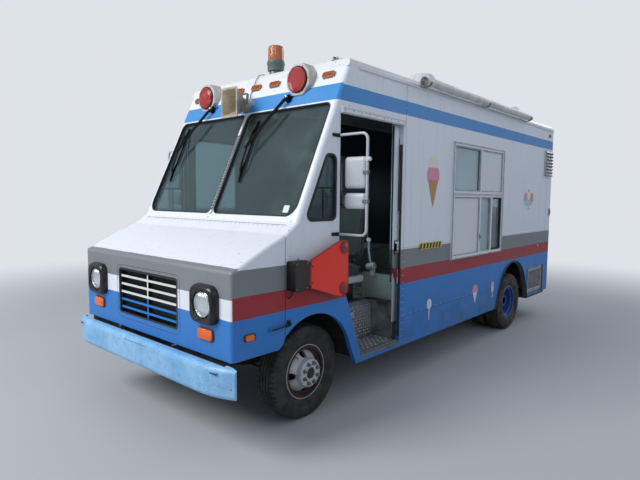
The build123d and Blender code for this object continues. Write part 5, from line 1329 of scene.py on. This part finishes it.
def decals():
    """Plain stickers and the generic ice cream pictures."""
    y, z, middle, foot = 1.738, 2.010, 4.535, 1.660
    cup = [[(middle - first, foot + low), (middle + first, foot + low), (middle + second, foot + high),
            (middle - second, foot + high)] for low, first, high, second in (
        (0, 0.085, 0.012, 0.050), (0.012, 0.016, 0.050, 0.020), (0.050, 0.110, 0.150, 0.235))]
    balls = [(name, material, out, arc((middle + across, foot + up), radius, 0, 360 / 28, 28))
             for name, material, across, up, radius, out in (
        ("sundae_left_scoop", "pink_ice", -0.120, 0.175, 0.062, 0.0014),
        ("sundae_right_scoop", "orange_ice", 0.120, 0.175, 0.062, 0.0016),
        ("sundae_top_scoop", "cream_ice", 0.0, 0.200, 0.066, 0.0018),
        ("sundae_cherry", "cherry", 0.0, 0.262, 0.020, 0.0020))]
    bars = [[(low, 1.292), (low + 0.034, 1.292), (low + 0.050, 1.344), (low + 0.016, 1.344)]
            for low in (1.492 + count * 0.064 for count in range(7))]
    for name, material, low, high, outlines in (
            ("cone_picture", "wafer", 0.0002, 0.0010, [[(y, 1.700), (y + 0.115, z), (y - 0.115, z)]]),
            ("cone_scoop", "pink_ice", 0.0004, 0.0014, [
                arc((y, z + 0.018), (0.128, 0.135), -18, 216 / 26, 27)]),
            ("cone_second_scoop", "cream_ice", 0.0006, 0.0018,
             [arc((y, z + 0.128), (0.092, 0.100), -14, 208 / 24, 25)]),
            ("sundae_glass_picture", "sundae_glass", 0.0002, 0.0010, cup),
            *((name, material, 0.0003, out, [outline]) for name, material, out, outline in balls),
            ("blank_strip", "strip_yellow", 0.0068, 0.0082, [rectangle((1.487, 1.286), (1.945, 1.350))]),
            ("blank_strip_bars", "seam_dark", 0.0070, 0.0088, bars)):
        shape = Shape(plane=on_side)
        for outline in outlines:
            shape.slab(outline, low, high)
        shape.piece(name, material)
    small = Shape(plane=on_side).slab(arc((1.726, 0.700), (0.048, 0.055), 0, 15, 24), 0.0002, 0.0010)
    for outline in (rectangle((1.717, 0.530), (1.735, 0.660)),
                    [(2.836, 0.538), (2.905, 0.690), (2.767, 0.690)],
                    oblong((3.320, 0.610), (3.390, 0.740), 0.030), rectangle((3.346, 0.540), (3.364, 0.615))):
        small.slab(outline, 0.0002, 0.0008)
    small.piece("plain_stickers", "panel_white")
    tops = Shape(plane=on_side).slab(arc((2.836, 0.695), (0.072, 0.074), -18, 9, 25), 0.0004, 0.0012)
    tops.slab(oblong((3.330, 0.680), (3.380, 0.732), 0.022), 0.0004, 0.0012).piece("sticker_tops", "pink_ice")
    note = Shape(plane=on_screen).slab(oblong((0.865, 1.690), (0.925, 1.745), 0.006, 2), -0.0195, -0.0188)
    note.piece("windshield_sticker", "panel_white")


def small_fittings():
    """Corner lamps on both sides, with the lock, roof bracket and corner fitting of the left one."""
    lock = Shape(plane=on_side).lathe([(0, 0.014), (0.004, 0.014), (0.008, 0.011), (0.008, 0.004),
            (0.006, 0.003)],
                                      (5.000, 1.100, 0), 20)
    lock.piece("side_lock", "chrome")
    lamp = ((5.322, 2.758), (5.382, 2.802))
    for side in SIDE_NAMES:
        base = Shape(side, on_side).slab(oblong(*lamp, 0.010), 0, 0.006)
        base.piece("corner_lamp_base", "black_plastic", bevel=0.0015)
        lamp_lens = Shape(side, on_side).slab(oblong(*grown(*lamp, -0.004), 0.008), 0.006, 0.0165)
        lamp_lens.piece("corner_lamp_lens", "dark_lens", bevel=0.002)
    bracket = Shape().block((0.860, 0.360, 2.938), (0.925, 0.460, 2.944))
    for y in (0.372, 0.438):
        bracket.block((0.866, y, 2.944), (0.918, y + 0.008, 2.968))
    bracket.tube([(0.892, 0.350, 2.960), (0.892, 0.470, 2.960)], 0.006, 10)
    bracket.piece("roof_edge_bracket", "bolt_steel", bevel=0.002)
    corner = Shape(plane=on_side).slab(oblong((5.440, 1.545), (5.495, 1.665), 0.012), 0, 0.010)
    corner.slab(oblong((5.450, 1.575), (5.485, 1.635), 0.010), 0.010, 0.020)
    corner.piece("corner_fitting", "vent_metal", bevel=0.003)


for hand in SIDE_NAMES:
    side_trim(hand)
louvres()
mesh_door()
decals()
small_fittings()


# Stop sign

SIGN_MIDDLE = WALL_X + 0.079
SIGN_LINE = ((-0.200, 1.126), (-0.200, 1.336), (0.146, 1.467), (0.249, 1.453), (0.249, 1.037), (0.150, 1.012))
SIGN_LAMPS = (1.405, 1.080)
SIGN_BOX = ((-0.371, 1.118), (-0.222, 1.336))


def on_sign(u, v, w):
    """Point on the sign's plate: u along Y, v up, w out from its middle."""
    return (SIGN_MIDDLE + w, u, v)


def stop_sign():
    """Blank plate with a rolled edge, its lamps, the hinge and the drive box's cover."""
    outer = rounded(SIGN_LINE, [0.006, 0.02, 0.03, 0.03, 0.03, 0.03], 4)
    plate = Shape(plane=on_sign).slab(outer, -0.0035, 0.0035)
    plate.piece("sign_plate", "sign_red", "sign_arm", bevel=0.002, replaces="stop_sign")
    centre = Vector((0.05, 1.24))
    inner = [tuple(centre + (Vector(p) - centre) * 0.972) for p in outer]
    rim = Shape(plane=on_sign).frame(outer, inner, -0.0058, 0.0058)
    rim.piece("sign_rim", "sign_edge", "sign_arm", bevel=0.0015)
    for index, z in enumerate(SIGN_LAMPS):
        for face, word in ((1, "outer"), (-1, "inner")):
            for name, material, profile in (
                    ("ring_", "sign_edge", [(0.0034, 0.050), (0.009, 0.049), (0.010, 0.046), (0.008, 0.044)]),
                    ("", "sign_lamp", [(0.003, 0.045), (0.010, 0.044), (0.014, 0.038), (0.0165, 0.026),
                                       (0.0175, 0.012), (0.0177, 0.003)])):
                lamp = Shape(plane=on_sign).lathe(profile, (0.190, z, 0), 36, (face, 0, 0))
                lamp.piece("sign_lamp_%s%d_%s" % (name, index, word), material, "sign_arm")
    hinge = Shape(plane=on_sign).tube([(-0.208, 1.152, 0), (-0.208, 1.302, 0)], 0.009, 14)
    for z in (1.165, 1.290):
        hinge.block((-0.206, z - 0.007, -0.0065), (-0.168, z + 0.007, 0.0065)).bolt((-0.180, z, 0.0062),
                0.004, 0.003)
    hinge.piece("sign_hinge", "sign_edge", "sign_arm", bevel=0.0015)
    (front, low), (rear, high) = SIGN_BOX
    cover = Shape(plane=on_side).slab(oblong(*grown(*SIGN_BOX, -0.006), 0.014), 0.084, 0.0875)
    cover.frame(oblong((front - 0.004, low - 0.004), (rear + 0.003, high + 0.004), 0.014),
                oblong(*grown(*SIGN_BOX, -0.006), 0.010), 0.052, 0.060)
    cover.piece("sign_box_cover", "box_brown", bevel=0.003)
    screws = Shape(plane=on_side).bolts((front + 0.018, rear - 0.018), (low + 0.018, high - 0.018), 0.0875,
            0.006,
                                        0.004)
    screws.lathe([(0, 0.009), (0.010, 0.009), (0.012, 0.006), (0.020, 0.005)],
            ((front + rear) / 2, high, 0.045), 12,
                 (0, 0, 1))
    screws.piece("sign_box_screws", "bolt_steel")
    wire = Shape(plane=on_side).tube([(front + y, low - drop, out) for y, drop, out in (
        (0.03, 0, 0.030), (0.028, 0.03, 0.026), (0.024, 0.052, 0.012), (0.022, 0.056, -0.004))], 0.006, 8)
    wire.piece("sign_box_cable", "gasket_rubber")


stop_sign()


# Roof and awning

AWNING_Y = (1.420, 4.300)
AWNING_Z = TOP_Z + 0.062
AWNING_RADIUS = 0.046
AWNING_X = WALL_X + 0.006 + AWNING_RADIUS
AWNING_PITCH = 0.006
AWNING_FOOT = TOP_Z + 0.009
VENT_PLACES = ((0.7, 2.100), (0.7, 4.700))


def awning():
    """Vinyl sheet rolled on itself, loose at its front end, and the brackets that carry it."""
    turns = (AWNING_RADIUS - 0.0075) / AWNING_PITCH
    steps = int(turns * 30)
    along = 48
    rings = []
    for step in range(steps + 1):
        turn = 2 * math.pi * turns * step / steps
        ring = []
        for index in range(along + 1):
            y = AWNING_Y[0] + (AWNING_Y[1] - AWNING_Y[0]) * index / along
            loose = 1 + 7 * max(0.0, 1 - (y - AWNING_Y[0]) / 0.35)
            slack = 0.0010 * loose * math.sin(9 * y + 1.3 * turn) * step / steps
            reach = 0.007 + (AWNING_RADIUS - 0.0085) * step / steps + slack
            ring.append((AWNING_X + reach * math.sin(turn + 0.6), y, AWNING_Z + reach * math.cos(turn + 0.6)))
        rings.append(ring)
    sheet = Shape().loft(rings, closed=False).piece("awning_sheet", "awning_vinyl", replaces="awning",
            sharp=180)
    brackets = Shape()
    for y in (AWNING_Y[0] + 0.060, sum(AWNING_Y) / 2, AWNING_Y[1] - 0.060):
        brackets.on(level).block((WALL_X, y - 0.020, AWNING_FOOT), (AWNING_X, y + 0.020, AWNING_FOOT + 0.005))
        brackets.bolt((WALL_X + 0.010, y, AWNING_FOOT + 0.005), 0.006, 0.004)
        cradle, back = (arc((AWNING_X, AWNING_Z), radius, -200, 190 / 18, 19) for radius in (0.0485, 0.0515))
        brackets.on(lambda u, v, w: (u, w, v)).slab(cradle + back[::-1], y - 0.016, y + 0.016)
    brackets.piece("awning_brackets", "bolt_steel", bevel=0.001)


def roof_vents():
    """Beads, caps and ribs of the two ventilators."""
    top = box("roof_vents")[1].z
    for index, (x, y) in enumerate(VENT_PLACES):
        bead = Shape().lathe([(top - 0.1325, 0.2155), (top - 0.128, 0.219), (top - 0.122, 0.2145)], (x, y, 0),
                48)
        bead.lathe([(top - 0.003, 0.112), (top - 0.0005, 0.090), (top, 0.020)], (x, y, 0), 32)
        bead.piece("roof_vent_bead_%d" % index, "vent_white")
        ribs = Shape()
        rows = [arc((x, y), reach, 0, 30, 12) for reach in (0.206, 0.166, 0.124)]
        for rib in zip(*rows):
            ribs.tube([(u, v, top - drop) for (u, v), drop in zip(rib, (0.114, 0.062, 0.008))], 0.004, 6)
        ribs.piece("roof_vent_ribs_%d" % index, "vent_white")


awning()
roof_vents()


# Front bumper

BUMPER_FACE = box("front_bumper")[0].y
SHELF_HALF = 1.020


def on_bumper(u, v, w):
    """Point on the bumper's face: u across, v up, w forward of it."""
    return (u, BUMPER_FACE + 0.0002 - w, v)


def bumper_parts():
    """Carriage bolts, the blank plate's outline and a dark shelf behind the bumper, painted shade of the gap under
    the nose.
    """
    bolts = Shape(plane=on_bumper)
    for x in (-0.326, 0.326):
        bolts.lathe([(0, 0.016), (0.004, 0.015), (0.007, 0.010), (0.008, 0.003)], (x, 0.600, -0.0055), 20)
    bolts.piece("bumper_bolts", "bumper_paint")
    plate = Shape(plane=on_bumper).border(((-0.175, 0.515), (0.175, 0.650)), (0, 0.010), (-0.004, 0.008),
            -0.002,
                                          -0.0003)
    plate.piece("plate_outline", "bolt_steel")
    # Near-black shelf behind the bumper: painted shade of the gap under the nose
    shelf = Shape().block((-SHELF_HALF, -0.965, 0.628), (SHELF_HALF, -0.836, 0.636))
    shelf.block((-SHELF_HALF, -0.842, 0.628), (SHELF_HALF, -0.836, 0.684))
    shelf.piece("bumper_shelf", "dark_recess", bevel=0.002)


bumper_parts()


# Cab interior

SEAT_X = 0.515
CLOTH_STEPS = 20
VOXEL = 0.0065
DASH_LEAN = 0.158
LEVER_X, LEVER_Y = 0.755, 1.125


def puffed(made, cap):
    """Swells a closed pad with cloth pressure, no point moving further than cap, and applies it."""
    made.modifiers.clear()
    remesh = made.modifiers.new("remesh", "REMESH")
    remesh.mode = "VOXEL"
    remesh.voxel_size = VOXEL
    evaluate(made)
    start = [vert.co.copy() for vert in made.data.vertices]
    cloth = made.modifiers.new("cloth", "CLOTH")
    cloth.settings.use_pressure = True
    cloth.settings.uniform_pressure_force = 4
    cloth.settings.effector_weights.gravity = 0
    cloth.point_cache.frame_start = 1
    cloth.point_cache.frame_end = CLOTH_STEPS
    scene = bpy.context.scene
    for step in range(1, CLOTH_STEPS + 1):
        scene.frame_set(step)
    evaluate(made)
    scene.frame_set(1)
    for vert, first in zip(made.data.vertices, start):
        move = vert.co - first
        if move.length > cap:
            vert.co = first + move * (cap / move.length)
    smooth = made.modifiers.new("fine", "SUBSURF")
    smooth.levels = smooth.render_levels = 1
    evaluate(made)
    made.data.shade_smooth()


def evaluate(made):
    """Applies every modifier of the object to its mesh."""
    graph = bpy.context.evaluated_depsgraph_get()
    graph.update()
    old = made.data
    made.data = bpy.data.meshes.new_from_object(made.evaluated_get(graph))
    made.data.name = made.name
    made.modifiers.clear()
    bpy.data.meshes.remove(old)


def on_seat_back(u, v, w):
    """Point on the leaning seat back: u across, v up, w behind its middle."""
    return (u, 1.040 + 0.155 * (v - 1.19) + w, v)


def driver_seat():
    """Seat on its pedestal: a pale moulded pan, a crowned cushion and back with welted edges."""
    stand = Shape().block((SEAT_X - 0.130, 0.700, 0.800), (SEAT_X + 0.130, 0.980, 0.985))
    stand.block((SEAT_X - 0.060, 1.045, 0.990), (SEAT_X + 0.060, 1.068, 1.240))
    stand.block((SEAT_X - 0.180, 0.660, 0.800), (SEAT_X + 0.180, 1.020, 0.806))
    stand.piece("driver_seat_stand", "dark_recess", bevel=0.006, replaces="driver_seat")
    seat = ((SEAT_X - 0.212, 0.612), (SEAT_X + 0.212, 1.028))
    back = ((SEAT_X - 0.200, 1.190), (SEAT_X + 0.200, 1.725))
    pan = Shape().slab(oblong((SEAT_X - 0.232, 0.592), (SEAT_X + 0.232, 1.058), 0.070), 0.980, 1.046)
    pan.piece("driver_seat_pan", "seat_shell", bevel=0.018)
    cushion = Shape().slab(oblong(*seat, 0.065), 1.050, 1.132)
    backrest = Shape(plane=on_seat_back).slab(oblong(*back, 0.080), -0.034, 0.030)
    pads = [shape.piece("driver_seat_" + name, "seat_vinyl", bevel=0.014)
            for name, shape in (("cushion", cushion), ("back", backrest))]
    for pad, cap in zip(pads, (0.024, 0.022)):
        puffed(pad, cap)
    welt = Shape().tube([(u, v, 1.124) for u, v in oblong(*grown(*seat, 0.004), 0.068)], 0.0042, 8,
            closed=True)
    welt.on(on_seat_back).tube([(u, v, -0.030) for u, v in oblong(*grown(*back, 0.004), 0.084)], 0.0042, 8,
            closed=True)
    welt.piece("driver_seat_welts", "seat_vinyl")


def cab_controls():
    """Gauges and switches on the dash, pedals, and the bright lever beside the seat with its white knob."""
    bezels, faces, marks, knobs, pedals = (Shape() for _ in range(5))
    facing = (0, 1, -DASH_LEAN)
    for x, z, radius in ((0.400, 1.345, 0.052), (0.515, 1.350, 0.046), (0.630, 1.345, 0.052),
                         (0.735, 1.335, 0.030)):
        y = -0.0745 + DASH_LEAN * (z - 1.325)
        bezels.lathe([(0, radius), (0.010, radius), (0.010, radius - 0.005), (0, radius - 0.005)], (x, y, z),
                32,
                     facing, hollow=True)
        faces.lathe([(0, radius - 0.004), (0.002, radius - 0.004)], (x, y, z), 32, facing)
        for u, v in arc((x, z), radius - 0.012, 210, -24, 11):
            marks.block((u - 0.001, y + 0.002, v - 0.003), (u + 0.001, y + 0.004, v + 0.003))
        marks.tube([(x, y + 0.004, z), (x - 0.5 * radius, y + 0.004, z + 0.35 * radius)], 0.0012, 6)
    for x in (0.840, 0.885, 0.930, 0.270, 0.225, 0.180):
        knobs.lathe([(0, 0.006), (0.012, 0.006), (0.014, 0.012), (0.024, 0.011)], (x, -0.078, 1.330), 16,
                facing)
    for x, wide, tall in ((0.640, 0.045, 0.055), (0.515, 0.050, 0.060), (0.410, 0.032, 0.105)):
        pedals.on(lambda u, v, w: (u, 0.055 + 0.45 * (v - 0.90) + w, v))
        pedals.slab(oblong((x - wide, 0.925 - tall / 2), (x + wide, 0.925 + tall / 2 + 0.03), 0.012), 0,
                0.014)
        pedals.on(level).tube([(x, 0.085, 0.960), (x, 0.040, 1.060), (x, -0.070, 1.240)], 0.010, 8)
    for shape, name, material in ((bezels, "gauge_bezels", "bolt_steel"),
                                  (faces, "gauge_faces", "dark_recess"),
                                  (marks, "gauge_marks", "panel_white"),
                                  (knobs, "dash_knobs", "dark_recess")):
        shape.piece(name, material)
    pedals.piece("pedals", "wiper_black", bevel=0.002)
    lever = Shape().lathe([(-0.045, 0.030), (-0.042, 0.034), (0.042, 0.034), (0.045, 0.030)],
                          (LEVER_X, LEVER_Y, 1.128), 24, (1, 0, 0.15))
    lever.tube([(LEVER_X, LEVER_Y, 1.128), (0.752, 1.105, 1.210), (0.748, 1.090, 1.300),
                (0.748, 1.088, 1.365)], 0.012, 10)
    lever.block((0.735, 1.130, 1.030), (0.775, 1.178, 1.110)).piece("side_lever", "lug_metal", bevel=0.003)
    ball = Shape().lathe(arc((0, 0), 0.025, 180, -18, 11), (0.748, 1.088, 1.388), 20)
    ball.piece("side_lever_knob", "knob")
    foot = Shape().block((0.700, 1.090, 0.8002), (0.965, 1.176, 0.8062))
    foot.piece("screen_foot", "dark_recess", bevel=0.001)


driver_seat()
cab_controls()


# Rear wall, doors and underside

TAIL_RED = ((0.800, 0.900), (0.960, 1.060))
TAIL_CLEAR = ((0.800, 0.720), (0.960, 0.860))


def rear_fittings(side):
    """Window rubber, hinge screws, tail lamps and the flap behind the wheel of one rear half."""
    gasket = Shape(side, on_rear).border(((0.122, 1.642), (0.548, 2.308)), (0, 0.056), (-0.016, 0.046),
            -0.028, 0.006)
    gasket.piece("rear_window_gasket", "gasket_rubber", "rear_door", bevel=0.002)
    screws = Shape(side, on_rear)
    for z in (1.020, 1.680, 2.340):
        screws.bolts((0.612, 0.640), (z + 0.016, z + 0.046), 0.006, 0.005, 0.003, 6)
    screws.piece("rear_hinge_screws", "bolt_steel", "rear_door")
    rings, reds, clears = (Shape(side, on_rear) for _ in range(3))
    for corners in (TAIL_RED, TAIL_CLEAR):
        rings.border(corners, (0.006, 0.034), (-0.004, 0.026), 0, 0.027)
    rings.piece("tail_lamp_rings", "chrome", bevel=0.002)
    reds.slab(oblong(*TAIL_RED, 0.030), 0, 0.022).slab(oblong((0.860, 2.722), (0.960, 2.764), 0.014), 0,
            0.020)
    reds.piece("tail_lamp_red", "red_lens", bevel=0.006)
    clears.slab(oblong(*TAIL_CLEAR, 0.030), 0, 0.022).piece("tail_lamp_clear", "clear_lens", bevel=0.006)
    flap = Shape(side).block((0.580, 4.500, 0.500), (1.055, 4.505, 0.790))
    flap.piece("rear_flap", "gasket_rubber", bevel=0.001)


def rear_middle():
    """Handle with its lock on the left rear door, the strip over the doors' joint and the step's tread."""
    plate = Shape(plane=on_rear).slab(oblong((0.045, 1.235), (0.105, 1.405), 0.010), 0, 0.006)
    plate.lathe([(0, 0.022), (0.030, 0.020), (0.034, 0.014)], (0.075, 1.350, 0.004), 20)
    plate.tube([(0.075, 1.350, 0.028), (0.120, 1.350, 0.040), (0.205, 1.346, 0.042)], 0.009, 10)
    plate.lathe([(0, 0.011), (0.006, 0.010)], (0.075, 1.270, 0.005), 16)
    plate.piece("rear_door_handle", "chrome", "left_rear_door", bevel=0.002)
    strip = Shape(plane=on_rear).block((-0.0035, 0.830, 0.0005), (0.030, 2.548, 0.0030))
    strip.piece("rear_door_strip", "window_white", "left_rear_door", bevel=0.001)
    lugs = Shape(plane=lambda u, v, w: (u, v, STEP_HIGH + w))
    lozenges(lugs, (-0.970, 0.970), (BODY_REAR + 0.030, BODY_REAR + 0.150),
             lambda u, v: math.hypot(u, v - BODY_REAR - 0.09) < 0.045)
    lugs.piece("rear_step_lugs", "tread_plate")


for hand in SIDE_NAMES:
    rear_fittings(hand)
rear_middle()


# Camera and light

FLOOR_HALF = 60


def linked(name, data):
    """An object for the data, in the scene."""
    made = bpy.data.objects.new(name, data)
    bpy.context.scene.collection.objects.link(made)
    return made


def aim():
    """The camera at the photo's place and angle."""
    turn, tilt, roll = map(math.radians, (CAMERA_AZIMUTH, CAMERA_ELEVATION, CAMERA_ROLL))
    ahead = Vector((-math.sin(turn) * math.cos(tilt), math.cos(turn) * math.cos(tilt), -math.sin(tilt)))
    across = Vector((math.cos(turn), math.sin(turn), 0))
    right = math.cos(roll) * across + math.sin(roll) * across.cross(ahead)
    data = bpy.data.cameras.new("camera")
    data.sensor_width = SENSOR
    data.lens = FOCAL_PIXELS / PHOTO_WIDTH * SENSOR
    camera = linked("camera", data)
    rotation = Matrix((right, right.cross(ahead), -ahead)).transposed().to_4x4()
    camera.matrix_world = Matrix.Translation(Vector(CAMERA_PLACE) + Vector((0, AXLE_Y, 0))) @ rotation
    bpy.context.scene.camera = camera


def lamp(name, place, target, size, power, colour=(1, 1, 1)):
    data = bpy.data.lights.new(name, "AREA")
    data.shape = "RECTANGLE"
    data.size, data.size_y = size
    data.energy = power
    data.color = colour
    made = linked(name, data)
    made.location = place
    made.rotation_mode = "QUATERNION"
    made.rotation_quaternion = (Vector(target) - Vector(place)).to_track_quat("-Z", "Y")


def light():
    """A plain pale studio: a lamp above the right front, soft shade on the truck's left."""
    world = bpy.data.worlds.new("studio")
    bpy.context.scene.world = world
    world.use_nodes = True
    tree = world.node_tree
    backdrop = tree.nodes["Background"]
    backdrop.inputs["Color"].default_value = rgb("#d6e2f2")
    backdrop.inputs["Strength"].default_value = 0.52
    seen, path, either, mixed = (tree.nodes.new("ShaderNode" + kind)
                                 for kind in ("Background", "LightPath", "Math", "MixShader"))
    seen.inputs["Color"].default_value = rgb(BACKDROP)
    either.operation = "MAXIMUM"
    for start, end in ((path.outputs["Is Camera Ray"], either.inputs[0]),
                       (path.outputs["Is Transmission Ray"], either.inputs[1]),
                       (either.outputs[0], mixed.inputs[0]), (backdrop.outputs[0], mixed.inputs[1]),
                       (seen.outputs[0], mixed.inputs[2]),
                       (mixed.outputs[0], tree.nodes["World Output"].inputs[0])):
        tree.links.new(start, end)
    lamp("key", (-3.0, -10.5, 8.0), (0, -1.0, 1.4), (5, 5), 1080, (1.0, 0.99, 0.98))
    lamp("fill", (8.5, -2.5, 5.5), (0, 0.3, 1.3), (6, 5), 90, (0.90, 0.95, 1.0))
    lamp("back", (2.0, 10.0, 7.0), (0, 1.5, 1.5), (6, 4), 260)


def floor():
    """A pale floor that fades into the backdrop away from the truck, for the camera alone."""
    data = bpy.data.meshes.new("floor")
    corners = rectangle((-FLOOR_HALF, -FLOOR_HALF), (FLOOR_HALF, FLOOR_HALF))
    data.from_pydata([(x, y, 0) for x, y in corners], [], [(0, 1, 2, 3)])
    made = linked("studio_floor", data)
    look = Look("studio_floor", roughness=0.95, specular_ior_level=0.1)
    look.set(base_color=look.mix(look.times(look.noise(0.6, 0.3, 0.7), 0.2), "#b4b6b9", "#abadb0"))
    away = look.node("VectorMath", {0: look.place}, out=1, operation="LENGTH")
    far = look.times(look.smooth(away, 4.5, 11.0), look.node("LightPath"))
    glow = look.node("Emission", {"Color": rgb(BACKDROP), "Strength": 1.0})
    data.materials.append(look.out(look.node("MixShader", {0: far, 1: look.shader.outputs[0], 2: glow})))


bpy.context.scene.view_settings.view_transform = "Standard"
aim()
light()
floor()
